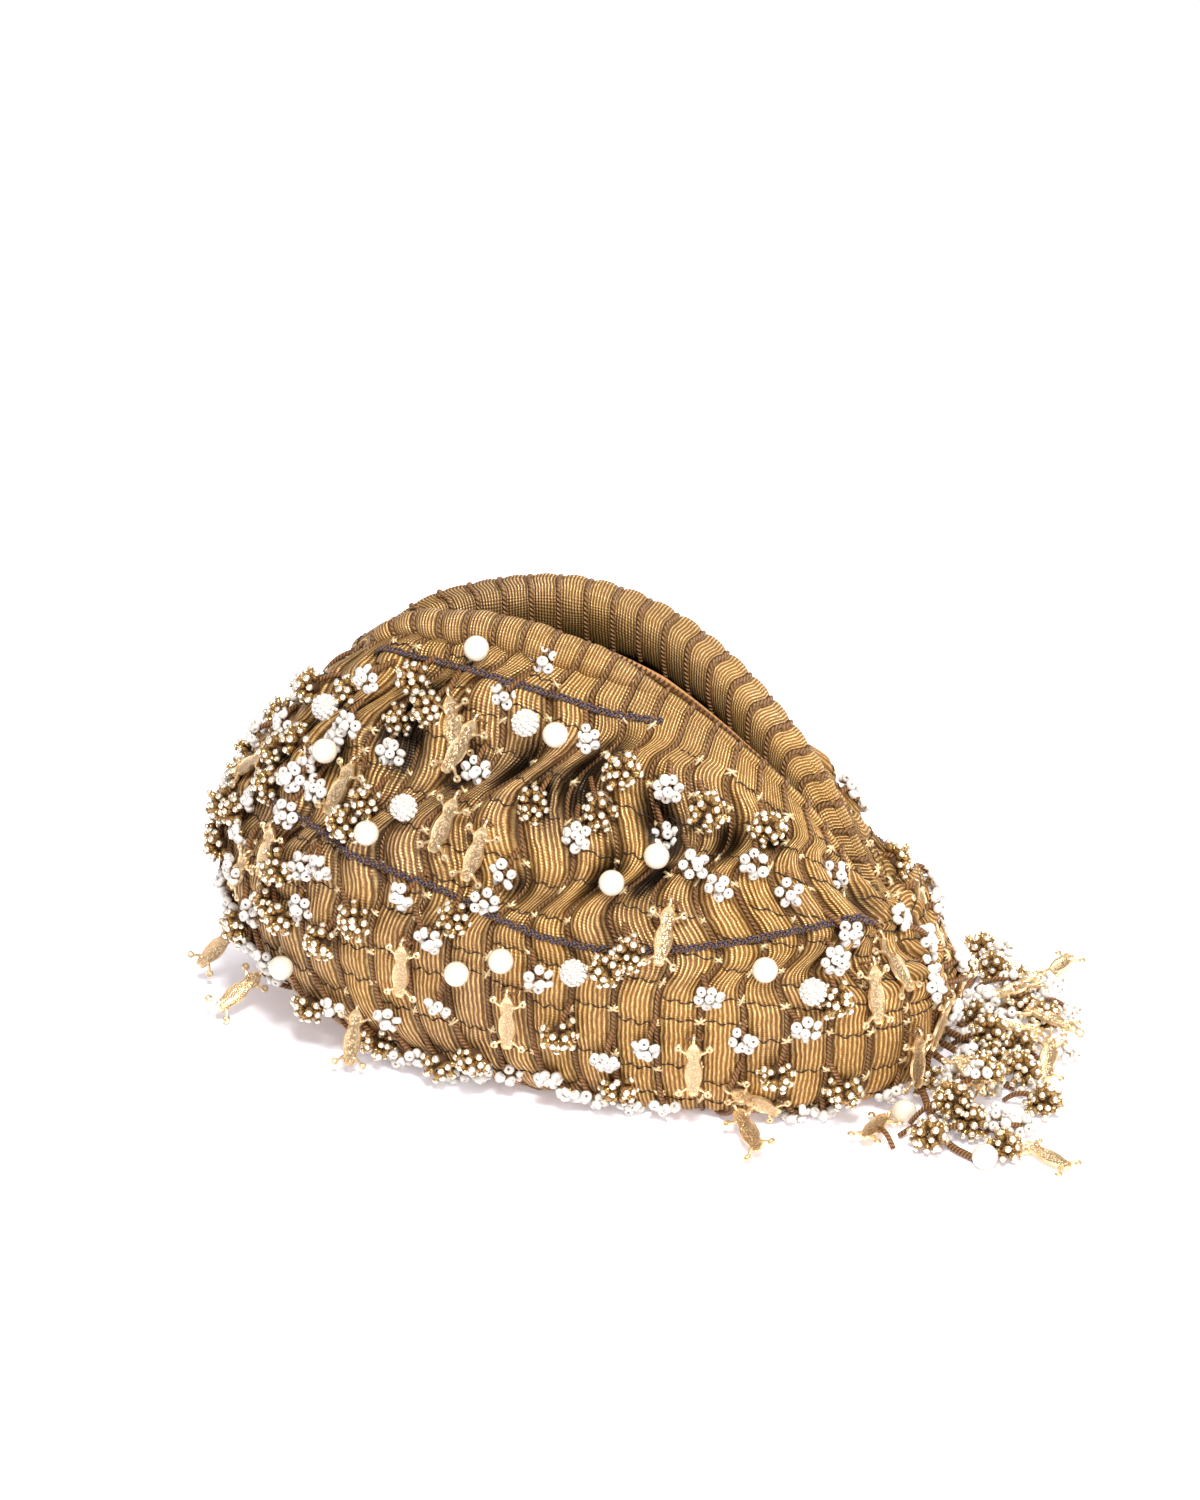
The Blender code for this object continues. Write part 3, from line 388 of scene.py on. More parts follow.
def new_object(name: str, mesh: bpy.types.Mesh, finish: Finish | None = None) -> bpy.types.Object:
    """Link a mesh to the scene as an object at the origin.

    Args:
        name: The piece's name.
        mesh: Its mesh.
        finish: Its finish, if it has one yet.

    Returns:
        The object.
    """
    obj = bpy.data.objects.new(name, mesh)
    bpy.context.scene.collection.objects.link(obj)
    if finish:
        mesh.materials.clear()
        mesh.materials.append(MATERIALS.of(finish))
    return obj


def face_outward(mesh: bpy.types.Mesh, sharp: float = 0.0) -> bpy.types.Mesh:
    """Turn a closed mesh's faces outward and smooth it.

    Args:
        mesh: The mesh.
        sharp: Least angle in degrees of an edge that stays sharp, or 0 for none.

    Returns:
        The same mesh.
    """
    work = bmesh.new()
    work.from_mesh(mesh)
    bmesh.ops.recalc_face_normals(work, faces=work.faces)
    work.to_mesh(mesh)
    work.free()
    mesh.shade_smooth()
    if sharp:
        mesh.set_sharp_from_angle(angle=math.radians(sharp))
    return mesh


def taken_from(work: bmesh.types.BMesh, name: str, sharp: float = 0.0) -> bpy.types.Mesh:
    """Turn finished bmesh work into a named, outward and smooth mesh."""
    mesh = bpy.data.meshes.new(name)
    work.to_mesh(mesh)
    work.free()
    return face_outward(mesh, sharp)


def bridge(work: bmesh.types.BMesh, rows: Sequence[Sequence[bmesh.types.BMVert]], capped: bool = True) -> None:
    """Join each ring of vertices to the next, and close both ends if asked."""
    count = len(rows[0])
    for low, high in zip(rows, rows[1:]):
        for i in range(count):
            corners = (low[i], low[(i + 1) % count], high[(i + 1) % count], high[i])
            work.faces.new(list(dict.fromkeys(corners)))
    if capped:
        work.faces.new(rows[0][::-1])
        work.faces.new(rows[-1])


def ribbon_piece(name: str, points: np.ndarray, faces: list, uvs: np.ndarray, hollow: np.ndarray,
                 replaces: Sequence[str] = ()) -> bpy.types.Object:
    """Make and sew on a closed piece of ribbons.

    Args:
        name: The piece's name.
        points: Its points.
        faces: Its faces.
        uvs: The place along and across a ribbon of each face corner.
        hollow: How much painted shade each point takes.
        replaces: The solids that it stands for.

    Returns:
        The piece.
    """
    mesh = bpy.data.meshes.new(name)
    mesh.from_pydata(points.reshape(-1, 3).tolist(), [], faces)
    mesh.uv_layers.new(name="ribbon").data.foreach_set("uv", uvs.ravel())
    mesh.attributes.new("hollow", "FLOAT", "POINT").data.foreach_set("value", hollow)
    return sew_on(new_object(name, face_outward(mesh), RIBBON), replaces=replaces)


def sew_on(obj: bpy.types.Object, body: str = "bag", replaces: Sequence[str] = ()) -> bpy.types.Object:
    """Make a piece ride on its body and report it.

    Args:
        obj: The finished piece.
        body: The body it moves with.
        replaces: The solids that it stands for.

    Returns:
        The same piece.
    """
    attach(obj, body)
    if replaces:
        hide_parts(*replaces)
    LOG.info("%s: %d faces on %s", obj.name, len(obj.data.polygons), body)
    return obj


@dataclass(frozen=True)
class PouchForm:
    """The pouch's sizes in metres and the surface they make."""

    ribs: int = 44
    belly_length: float = 0.242
    belly_depth: float = 0.120
    belly_height: float = 0.042
    belly_offset: float = 0.004
    belly_power: float = 2.25
    belly_slope: float = -0.09
    belly_rise: float = 0.3
    base_length: float = 0.168
    base_depth: float = 0.088
    base_offset: float = 0.018
    base_power: float = 2.2
    wall: float = 0.0045
    crown: float = 0.0008
    valley: float = 0.0016
    fade_rise: float = 0.12
    sway_cords: float = 0.44
    sway_waves: float = 3.2
    sway_twist: float = 0.17
    hollow_depth: float = 0.007
    mouth_left: float = -0.068
    mouth_right: float = 0.098
    front_gap: float = 0.013
    back_gap: float = 0.018
    lip_crown: float = 0.001
    roll_reach: float = 1.9
    least_reach: float = 0.07
    roll_ribs: float = 0.35
    ribs_flatten: float = 0.75
    rim_rise: float = 0.97
    gap: float = 0.0003
    lining: float = 0.0008
    # share of the mouth from its left end, front and rear lip heights, their roll radii, the binding's rise
    lip: tuple[tuple[float, ...], ...] = (
        (0.00, 0.124, 0.124, 0.0012, 0.0012, -0.0010),
        (0.07, 0.135, 0.135, 0.0020, 0.0020, -0.0010),
        (0.21, 0.143, 0.144, 0.0044, 0.0050, -0.0010),
        (0.41, 0.141, 0.147, 0.0046, 0.0065, -0.0010),
        (0.61, 0.127, 0.136, 0.0022, 0.0065, 0.0036),
        (0.76, 0.110, 0.117, 0.0018, 0.0055, 0.0036),
        (0.89, 0.091, 0.093, 0.0018, 0.0036, 0.0024),
        (1.00, 0.063, 0.063, 0.0014, 0.0014, 0.0000),
    )
    # cord, rise, depth, width in cords and length in rise of each fold
    folds: tuple[tuple[float, ...], ...] = (
        (10.8, 0.77, 0.0090, 0.55, 0.085),
        (8.9, 0.74, 0.0085, 0.50, 0.075),
        (10.0, 0.60, 0.0070, 0.45, 0.060),
        (8.5, 0.63, 0.0065, 0.45, 0.050),
        (13.1, 0.74, 0.0070, 0.50, 0.060),
        (16.2, 0.73, 0.0085, 0.65, 0.075),
        (19.2, 0.68, 0.0070, 0.60, 0.070),
        (7.0, 0.77, 0.0080, 0.55, 0.060),
        (5.5, 0.84, 0.0060, 0.50, 0.050),
        (2.2, 0.82, 0.0050, 0.60, 0.070),
        (12.2, 0.53, 0.0055, 0.45, 0.045),
        (15.8, 0.81, 0.0060, 0.45, 0.045),
        (14.6, 0.70, 0.0055, 0.40, 0.050),
        (11.6, 0.70, 0.0065, 0.42, 0.055),
        (17.6, 0.66, 0.0060, 0.45, 0.050),
        (25.0, 0.66, 0.0070, 0.60, 0.075),
        (27.6, 0.72, 0.0080, 0.55, 0.065),
        (30.1, 0.76, 0.0085, 0.50, 0.085),
        (32.4, 0.64, 0.0060, 0.50, 0.060),
        (34.7, 0.75, 0.0080, 0.55, 0.075),
        (37.5, 0.79, 0.0070, 0.50, 0.060),
        (41.0, 0.78, 0.0055, 0.55, 0.070),
    )

    def loop(self, turn: np.ndarray, length: float, depth: float, power: float) -> np.ndarray:
        """Space points evenly round a superellipse, from its +X end along the front."""
        angles = np.linspace(0, 2 * np.pi, 2001)

        def shape(angle: np.ndarray) -> np.ndarray:
            cosine, sine = np.cos(angle), np.sin(angle)
            x = length / 2 * np.sign(cosine) * np.abs(cosine) ** (2 / power)
            return np.stack([x, -depth / 2 * np.sign(sine) * np.abs(sine) ** (2 / power)], -1)

        run = running_length(shape(angles))
        return shape(np.interp(np.mod(turn, 1) * run[-1], run, angles))

    def lip_columns(self) -> np.ndarray:
        """Give the lip's table by column."""
        return np.array(self.lip).T

    def mouth_side(self, side: int) -> tuple[np.ndarray, np.ndarray]:
        """Give one lip from the right end to the left, and the share of its length at each point."""
        way = np.linspace(0, 1, 401)
        shares, front, back = self.lip_columns()[:3]
        gap, heights = (self.front_gap, front) if side < 0 else (self.back_gap, back)
        x = self.mouth_right + (self.mouth_left - self.mouth_right) * way
        y = side * gap * np.sqrt(np.clip(np.sin(np.pi * way), 0, 1))
        points = np.stack([x, y, smooth_curve(shares, heights, 1 - way)], -1)
        run = running_length(points)
        return points, run / run[-1]

    def on_front(self, cord: np.ndarray) -> np.ndarray:
        """Say which cords lie along the front."""
        return np.mod(cord, self.ribs) <= self.ribs / 2

    def mouth(self, cord: np.ndarray) -> np.ndarray:
        """Give the lip line's point over each cord."""
        turn = np.mod(cord, self.ribs) / self.ribs
        share = np.where(turn <= 0.5, 2 * turn, 2 - 2 * turn)
        sides = []
        for side in (-1, 1):
            points, run = self.mouth_side(side)
            sides.append(np.stack([np.interp(share, run, points[:, axis]) for axis in range(3)], -1))
        return np.where((turn <= 0.5)[..., None], sides[0], sides[1])

    def level(self, cord: np.ndarray, length: float, depth: float, power: float, offset: float) -> np.ndarray:
        """Give a level loop's points at height 0."""
        loop = self.loop(cord / self.ribs, length, depth, power)
        return np.stack([loop[..., 0] + offset, loop[..., 1], np.zeros(loop.shape[:-1])], -1)

    def point(self, cord: np.ndarray, rise: np.ndarray) -> np.ndarray:
        """Give the mean surface's points, with no ribs and no folds.

        Args:
            cord: Places round the pouch.
            rise: Places up it.

        Returns:
            Points in metres.
        """
        cord, rise = np.broadcast_arrays(np.asarray(cord, float), np.asarray(rise, float))
        edge = self.level(cord, self.base_length, self.base_depth, self.base_power, self.base_offset)
        belly = self.level(cord, self.belly_length, self.belly_depth, self.belly_power, self.belly_offset)
        belly[..., 2] = self.belly_height + self.belly_slope * belly[..., 0]
        lip = self.mouth(cord)
        up = np.array([0.0, 0.0, 1.0])
        sprung = edge + (belly - edge) * [0.75, 0.75, 0.0]
        low = bezier(edge, sprung, belly - up * self.belly_height * 0.55, belly, np.clip(rise / self.belly_rise, 0, 1))
        climb = (lip - belly)[..., 2:3] * up
        drawn_in = (belly - lip) * [0.45, 0.45, 0.0]
        above = np.clip((rise - self.belly_rise) / (1 - self.belly_rise), 0, 1)
        high = bezier(belly, belly + climb * 0.33, lip + drawn_in - climb * 0.22, lip, above)
        return np.where((rise < self.belly_rise)[..., None], low, high)

    def slopes(self, cord: np.ndarray, rise: np.ndarray) -> tuple[np.ndarray, np.ndarray]:
        """Give unit vectors uphill along the ribbon and out of the surface."""
        across = self.point(cord + 0.05, rise) - self.point(cord - 0.05, rise)
        uphill = self.point(cord, np.minimum(rise + 0.01, 1)) - self.point(cord, np.maximum(rise - 0.01, 0))
        return unit(uphill), unit(np.cross(uphill, across))

    def band(self, rise: np.ndarray) -> np.ndarray:
        """Give 1 where the ribs are drawn together, fading to 0 at the belly and at the lip."""
        return smooth_step(0.35, 0.55, rise) * (1 - smooth_step(0.86, 0.95, rise))

    def sway(self, cord: np.ndarray, rise: np.ndarray) -> np.ndarray:
        """Give how far the ribs buckle sideways, in cords."""
        wave = np.sin(2 * np.pi * (self.sway_waves * rise + self.sway_twist * cord))
        return self.sway_cords * wave * self.band(rise)

    def fold(self, cord: np.ndarray, rise: np.ndarray) -> np.ndarray:
        """Give the depth of the hollows between the gathered ribs."""
        depth = np.zeros(np.broadcast(cord, rise).shape)
        for at_cord, at_rise, deep, width, length in self.folds:
            shape = np.exp(-(((cord - at_cord) / width) ** 2) - ((rise - at_rise) / length) ** 2)
            depth = np.maximum(depth, deep * shape)
        return depth

    def lip_value(self, cord: np.ndarray, front: np.ndarray, back: np.ndarray) -> np.ndarray:
        """Read a lip column over each cord."""
        share = (self.mouth(cord)[:, 0] - self.mouth_left) / (self.mouth_right - self.mouth_left)
        shares = self.lip_columns()[0]
        return np.where(self.on_front(cord), np.interp(share, shares, front), np.interp(share, shares, back))

    def inset_ring(self, cord: np.ndarray, rise: float, inset: float) -> np.ndarray:
        """Give a level ring drawn in by the inset on every side and lifted off the base."""
        whole = self.point(np.arange(self.ribs), rise)
        low, high = whole.min(axis=0), whole.max(axis=0)
        middle, half = (low[0] + high[0]) / 2, (high[0] - low[0]) / 2
        ring = self.point(cord, rise)
        depth = np.where(ring[:, 1] < 0, -low[1], high[1])
        ring[:, 0] = middle + (ring[:, 0] - middle) * (half - inset) / half
        ring[:, 1] *= (depth - inset) / depth
        ring[:, 2] += inset * max(0.0, 1 - rise / self.belly_rise)
        return ring

    def lip_frame(self, cord: np.ndarray) -> tuple[np.ndarray, np.ndarray]:
        """Give unit vectors level out of the mouth, and square to the lip and to that."""
        along = self.mouth(cord + 0.1) - self.mouth(cord - 0.1)
        outward = unit(np.stack([along[:, 1], -along[:, 0], np.zeros(len(cord))], -1))
        middle = np.array([(self.mouth_left + self.mouth_right) / 2, 0, 0])
        outward *= np.sign((outward * (self.mouth(cord) - middle)).sum(1))[:, None]
        upright = unit(np.cross(along, outward))
        return outward, upright * np.sign(upright[:, 2:])


def bezier(p0: np.ndarray, p1: np.ndarray, p2: np.ndarray, p3: np.ndarray, t: np.ndarray) -> np.ndarray:
    """Read a cubic Bezier curve."""
    t = t[..., None]
    return (1 - t) ** 3 * p0 + 3 * t * (1 - t) ** 2 * p1 + 3 * t**2 * (1 - t) * p2 + t**3 * p3


FORM = PouchForm()


@dataclass
class RibbonBody:
    """The stitched ribbon wall, with puckers, deep gathers and a rolled lip."""

    columns: int = 9
    outer_rings: int = 150
    inner_rises: tuple[float, ...] = (0.88, 0.50, 0.20, 0.0)
    roll_angles: tuple[float, ...] = tuple(np.linspace(0, 145, 15))
    creases: int = 110
    crease_depth: float = 0.0026
    pleat_height: float = 0.0017
    pleat_valley: float = 0.0016
    pucker_rows: int = 11
    pucker_depth: float = 0.0007
    pucker_width: float = 0.011
    swell: float = 0.0005
    form: PouchForm = FORM
    rings: list[np.ndarray] = field(default_factory=list)

    def crease(self, cord: np.ndarray, rise: np.ndarray) -> np.ndarray:
        """Give the depth of the short slanting creases where the cloth is drawn together."""
        draw = np.random.default_rng(5)
        depth = np.zeros(np.broadcast(cord, rise).shape)
        for _ in range(self.creases):
            at_cord, at_rise = draw.uniform(0, self.form.ribs), draw.uniform(0.46, 0.88)
            slant, width, length = draw.uniform(-5, 5), draw.uniform(0.10, 0.2), draw.uniform(0.03, 0.07)
            across = cord - at_cord - slant * (rise - at_rise)
            shape = np.exp(-((across / width) ** 2) - ((rise - at_rise) / length) ** 2)
            depth = np.maximum(depth, self.crease_depth * draw.uniform(0.4, 1.0) * shape)
        return depth

    def pleat(self, cord: np.ndarray, rise: np.ndarray) -> np.ndarray:
        """Give how far each gathered ribbon stands out from its neighbours, with the seams drawn in."""
        rib = np.floor(cord)
        stand = np.sin(rib * 2.17 + 0.6) + 0.6 * np.sin(rib * 5.3 + rise * 9) + 0.3
        profile = rib_profile(cord, 2.4)
        return (self.pleat_height * stand * profile - self.pleat_valley * (1 - profile)) * self.form.band(rise)

    def row_rise(self, cord: np.ndarray, row: int) -> np.ndarray:
        """Give the rise of a couching row, which wanders a little from rib to rib."""
        rib = np.floor(cord)
        jitter = 0.016 * np.sin(rib * 2.4 + row * 1.7) + 0.010 * np.sin(rib * 5.1 + row * 3.1)
        return 0.045 + 0.088 * row + jitter

    def lift(self, cord: np.ndarray, rise: np.ndarray, rib_scale: np.ndarray) -> np.ndarray:
        """Give the outer face's height over the mean surface.

        Args:
            cord: Places round the pouch.
            rise: Places up it.
            rib_scale: Share of the rib's height left near a thin lip.

        Returns:
            Heights in metres.
        """
        form = self.form
        profile = rib_profile(cord)
        lift = (form.crown + form.valley) * profile - form.valley
        for row in range(self.pucker_rows):
            near = np.exp(-((rise - self.row_rise(cord, row)) / self.pucker_width) ** 2)
            lift = lift - self.pucker_depth * near * profile
        swell = np.sin(cord * 2.9 + rise * 23) * np.sin(rise * 41 + cord * 1.3) * self.swell * profile
        lift = (lift + swell) * rib_scale * smooth_step(0, form.fade_rise, rise)
        return lift + self.pleat(cord, rise) - form.fold(cord, rise) - self.crease(cord, rise)

    def outer(self, cord: np.ndarray, rise: np.ndarray, rib_scale: float | np.ndarray = 1.0) -> np.ndarray:
        """Give points of the ribbed and folded outer face."""
        moved = cord + self.form.sway(cord, rise)
        _, normal = self.form.slopes(moved, rise)
        return self.form.point(moved, rise) + normal * self.lift(cord, rise, rib_scale)[..., None]

    def join(self, cord: np.ndarray) -> np.ndarray:
        """Give the rise where the outer face turns into the rolled lip."""
        form = self.form
        columns = form.lip_columns()
        radius = form.lip_value(cord, columns[3], columns[4])
        slope = form.point(cord, 1) - form.point(cord, 0.9)
        reach = form.roll_reach * radius / (10 * np.linalg.norm(slope, axis=1))
        return 1 - np.maximum(form.least_reach, reach)

    def roll(self, cord: np.ndarray, angle: float) -> np.ndarray:
        """Give the rolled lip's points at one angle round the roll."""
        form = self.form
        columns = form.lip_columns()
        radius = form.lip_value(cord, columns[3], columns[4])
        outward, upright = form.lip_frame(cord)
        lip = form.mouth(cord)
        wall = form.wall * np.abs(lip[:, 1]) / np.where(form.on_front(cord), form.front_gap, form.back_gap)
        centre = lip + outward * (radius - wall)[:, None] - upright * (radius - form.lip_crown)[:, None]
        cosine, sine = math.cos(math.radians(angle)), math.sin(math.radians(angle))
        profile = rib_profile(cord)
        ribs = form.roll_ribs * (profile - 1) * (1 + cosine) / 2
        return centre + (outward * cosine + upright * sine) * (radius * (1 + ribs))[:, None]

    def strip(self, cord: np.ndarray) -> list[np.ndarray]:
        """Give the outer face's rings from the base's edge up and over the rolled lip."""
        columns = self.form.lip_columns()
        radius = self.form.lip_value(cord, columns[3], columns[4])
        most = columns[3:5].max()
        join = self.join(cord)
        rings = []
        for share in np.linspace(0, 1, self.outer_rings):
            flattening = (1 - radius / most) * smooth_step(self.form.ribs_flatten, 1, share)
            rings.append(self.outer(cord, share * join, 1 - flattening))
        return rings + [self.roll(cord, angle) for angle in self.roll_angles]

    def build(self) -> bpy.types.Object:
        """Make the wall as one closed mesh, with a UV map that follows each ribbon.

        Returns:
            The wall.
        """
        form = self.form
        count = form.ribs * self.columns
        cord = np.arange(count) / self.columns
        outer = self.strip(cord)
        inner = []
        for rise in (form.rim_rise, *self.inner_rises):
            inset = form.wall + form.hollow_depth * form.band(np.array(rise))
            inner.append(form.inset_ring(cord, rise, float(inset)))
        rings = np.array(outer + inner)
        self.rings = outer
        i = np.arange(count)
        after = (i + 1) % count
        quads = np.concatenate([
            np.stack([k * count + i, k * count + after, (k + 1) * count + after, (k + 1) * count + i], -1)
            for k in range(len(rings) - 1)
        ])
        last = (len(rings) - 1) * count
        faces = [tuple(range(count))[::-1]] + quads.tolist() + [tuple(range(last, last + count))]
        along = np.concatenate([[0], np.cumsum(np.linalg.norm(np.diff(rings, axis=0), axis=2).mean(axis=1))]) / MM
        u = np.stack([i, i + 1, i + 1, i], -1) / self.columns
        uvs = [np.zeros((count, 2))]
        for k in range(len(rings) - 1):
            v = np.broadcast_to([along[k], along[k], along[k + 1], along[k + 1]], u.shape)
            uvs.append(np.stack([u, v], -1).reshape(-1, 2))
        uvs.append(np.zeros((count, 2)))
        # painted shade for the ribbon finish: darker in the folds, creases and between the gathered ribbons, lighter on
        # standing pleats, and 0.85 inside the mouth
        depth = np.concatenate([
            form.fold(cord, rise) + self.crease(cord, rise) * 0.8 - self.pleat(cord, rise) * 0.7
            for rise in (share * self.join(cord) for share in np.linspace(0, 1, self.outer_rings))
        ])
        marks = np.zeros(len(rings) * count)
        marks[:len(depth)] = np.clip((depth - 0.0004) / 0.0052, 0, 0.95) ** 1.1
        marks[len(outer) * count:] = 0.85
        return ribbon_piece("ribbon_wall", rings, faces, np.concatenate(uvs), marks, replaces=["bag_shell"])


class Skin:
    """Finds places on the wall and on what is sewn to it."""

    def __init__(self) -> None:
        """Start with nothing to seat on."""
        self.trees: list[BVHTree] = []

    def add(self, obj: bpy.types.Object) -> None:
        """Let later pieces be seated on this one."""
        mesh = obj.data
        vertices = [v.co.copy() for v in mesh.vertices]
        self.trees.append(BVHTree.FromPolygons(vertices, [tuple(p.vertices) for p in mesh.polygons]))

    def hit(self, start: Vector, way: Vector, reach: float) -> Vector | None:
        """Give the first point that a line meets, or None."""
        hits = [tree.ray_cast(start, way, reach) for tree in self.trees]
        found = [hit for hit in hits if hit[0] is not None]
        return min(found, key=lambda hit: hit[3])[0] if found else None

    def seat(self, cord: float, rise: float) -> tuple[Vector, Vector, Vector]:
        """Find a place's point on the wall.

        Args:
            cord: Place round the pouch.
            rise: Place up it.

        Returns:
            The point, and the unit vectors downhill and outward there.
        """
        uphill, normal = FORM.slopes(np.array(cord), np.array(rise))
        point, outward = Vector(FORM.point(cord, rise)), Vector(normal)
        found = self.hit(point + outward * 0.02, -outward, 0.04)
        return found or point, -Vector(uphill), outward


@dataclass(frozen=True)
class Copies:
    """Where copies of one small shape go: points, turns as quaternions, and sizes."""

    points: list[Vector] = field(default_factory=list)
    turns: list[Quaternion] = field(default_factory=list)
    sizes: list[float] = field(default_factory=list)

    def add(self, point: Vector, turn: Quaternion, size: float = 1.0) -> None:
        """Add one copy."""
        self.points.append(point)
        self.turns.append(turn)
        self.sizes.append(size)


def frame_turn(across: Vector, along: Vector, out: Vector) -> Quaternion:
    """Give the turn that takes X, Y and Z to three square unit vectors."""
    return Matrix((across, along, out)).transposed().to_quaternion()


def turn_to(axis: Vector) -> Quaternion:
    """Give a turn that takes Z to a unit vector."""
    across = axis.orthogonal().normalized()
    return frame_turn(across, axis.cross(across), axis)


class NodeWorkshop:
    """Makes repeated shapes and cords with node trees, and turns the results into plain meshes."""

    def __init__(self) -> None:
        """Build both trees."""
        self.copying = self.copying_tree()
        self.roping = self.roping_tree()

    def socket(self, tree: bpy.types.NodeTree, name: str, kind: str, default: float | None = None) -> None:
        """Give a tree a named input."""
        made = tree.interface.new_socket(name, in_out="INPUT", socket_type=kind)
        if default is not None:
            made.default_value = default

    def copying_tree(self) -> bpy.types.NodeTree:
        """Build the tree that lays copies of a shape on points, turned and sized by the points' attributes."""
        tree = bpy.data.node_groups.new("copies_on_points", "GeometryNodeTree")
        self.socket(tree, "Points", "NodeSocketGeometry")
        self.socket(tree, "Shape", "NodeSocketObject")
        self.socket(tree, "Finish", "NodeSocketMaterial")
        self.socket(tree, "Size", "NodeSocketFloat", 1.0)
        tree.interface.new_socket("Copies", in_out="OUTPUT", socket_type="NodeSocketGeometry")
        given = add_node(tree, "NodeGroupInput")
        shape = add_node(tree, "GeometryNodeObjectInfo", {"Object": given.outputs["Shape"], "As Instance": False})
        turn = add_node(tree, "GeometryNodeInputNamedAttribute", {"Name": "turn"}, data_type="QUATERNION")
        size = add_node(tree, "GeometryNodeInputNamedAttribute", {"Name": "size"}, data_type="FLOAT")
        scaled = add_node(tree, "ShaderNodeMath", {0: size.outputs[0], 1: given.outputs["Size"]}, operation="MULTIPLY")
        laid = add_node(tree, "GeometryNodeInstanceOnPoints", {
            "Points": given.outputs["Points"], "Instance": shape.outputs["Geometry"],
            "Rotation": turn.outputs[0], "Scale": scaled.outputs[0]})
        real = add_node(tree, "GeometryNodeRealizeInstances", {"Geometry": laid.outputs[0]})
        smooth = add_node(tree, "GeometryNodeSetShadeSmooth", {"Geometry": real.outputs[0]})
        finished = add_node(tree, "GeometryNodeSetMaterial", {
            "Geometry": smooth.outputs[0], "Material": given.outputs["Finish"]})
        add_node(tree, "NodeGroupOutput", {0: finished.outputs[0]})
        return tree

    def roping_tree(self) -> bpy.types.NodeTree:
        """Build the tree that sweeps a round cord along each line and marks the way along and around it."""
        tree = bpy.data.node_groups.new("cords_on_lines", "GeometryNodeTree")
        self.socket(tree, "Lines", "NodeSocketGeometry")
        self.socket(tree, "Radius", "NodeSocketFloat", MM)
        self.socket(tree, "Sides", "NodeSocketInt", 6)
        self.socket(tree, "Finish", "NodeSocketMaterial")
        tree.interface.new_socket("Cords", in_out="OUTPUT", socket_type="NodeSocketGeometry")
        given = add_node(tree, "NodeGroupInput")
        lines = add_node(tree, "GeometryNodeMeshToCurve", {"Mesh": given.outputs["Lines"]})
        circle = add_node(tree, "GeometryNodeCurvePrimitiveCircle", {
            "Resolution": given.outputs["Sides"], "Radius": given.outputs["Radius"]})
        place = add_node(tree, "GeometryNodeInputPosition")
        kept = add_node(tree, "GeometryNodeStoreNamedAttribute", {
            "Geometry": circle.outputs[0], "Name": "around", "Value": place.outputs[0]},
            data_type="FLOAT_VECTOR", domain="POINT")
        swept = add_node(tree, "GeometryNodeCurveToMesh", {
            "Curve": lines.outputs[0], "Profile Curve": kept.outputs[0], "Fill Caps": True})
        smooth = add_node(tree, "GeometryNodeSetShadeSmooth", {"Geometry": swept.outputs[0]})
        finished = add_node(tree, "GeometryNodeSetMaterial", {
            "Geometry": smooth.outputs[0], "Material": given.outputs["Finish"]})
        add_node(tree, "NodeGroupOutput", {0: finished.outputs[0]})
        return tree

    def evaluate(self, name: str, mesh: bpy.types.Mesh, tree: bpy.types.NodeTree, values: dict) -> bpy.types.Object:
        """Run a tree on a mesh and keep the result as a plain mesh at the origin.

        Args:
            name: The new piece's name.
            mesh: What the tree works on.
            tree: The tree.
            values: The tree's named inputs.

        Returns:
            The new piece.
        """
        source = new_object(name + "_source", mesh)
        modifier = source.modifiers.new("made", "NODES")
        modifier.node_group = tree
        for item in tree.interface.items_tree:
            if item.in_out == "INPUT" and item.name in values:
                modifier[item.identifier] = values[item.name]
        bpy.context.view_layer.update()
        made = bpy.data.meshes.new_from_object(source.evaluated_get(bpy.context.evaluated_depsgraph_get()))
        source.modifiers.remove(modifier)
        bpy.data.objects.remove(source, do_unlink=True)
        made.name = name
        return new_object(name, made)

    def copies(self, name: str, places: Copies, shape: bpy.types.Mesh, finish: Finish,
               size: float = 1.0) -> bpy.types.Object:
        """Lay copies of a shape.

        Args:
            name: The new piece's name.
            places: Where the copies go.
            shape: The shape's mesh, about its own origin.
            finish: The copies' finish.
            size: A scale for all of them.

        Returns:
            The new piece.
        """
        mesh = bpy.data.meshes.new(name + "_points")
        mesh.from_pydata([tuple(p) for p in places.points], [], [])
        turns = mesh.attributes.new("turn", "QUATERNION", "POINT")
        turns.data.foreach_set("value", np.array([tuple(q) for q in places.turns], np.float32).ravel())
        sizes = mesh.attributes.new("size", "FLOAT", "POINT")
        sizes.data.foreach_set("value", np.array(places.sizes, np.float32))
        model = new_object(name + "_shape", shape)
        made = self.evaluate(name, mesh, self.copying, {"Shape": model, "Finish": MATERIALS.of(finish), "Size": size})
        bpy.data.objects.remove(model, do_unlink=True)
        return made

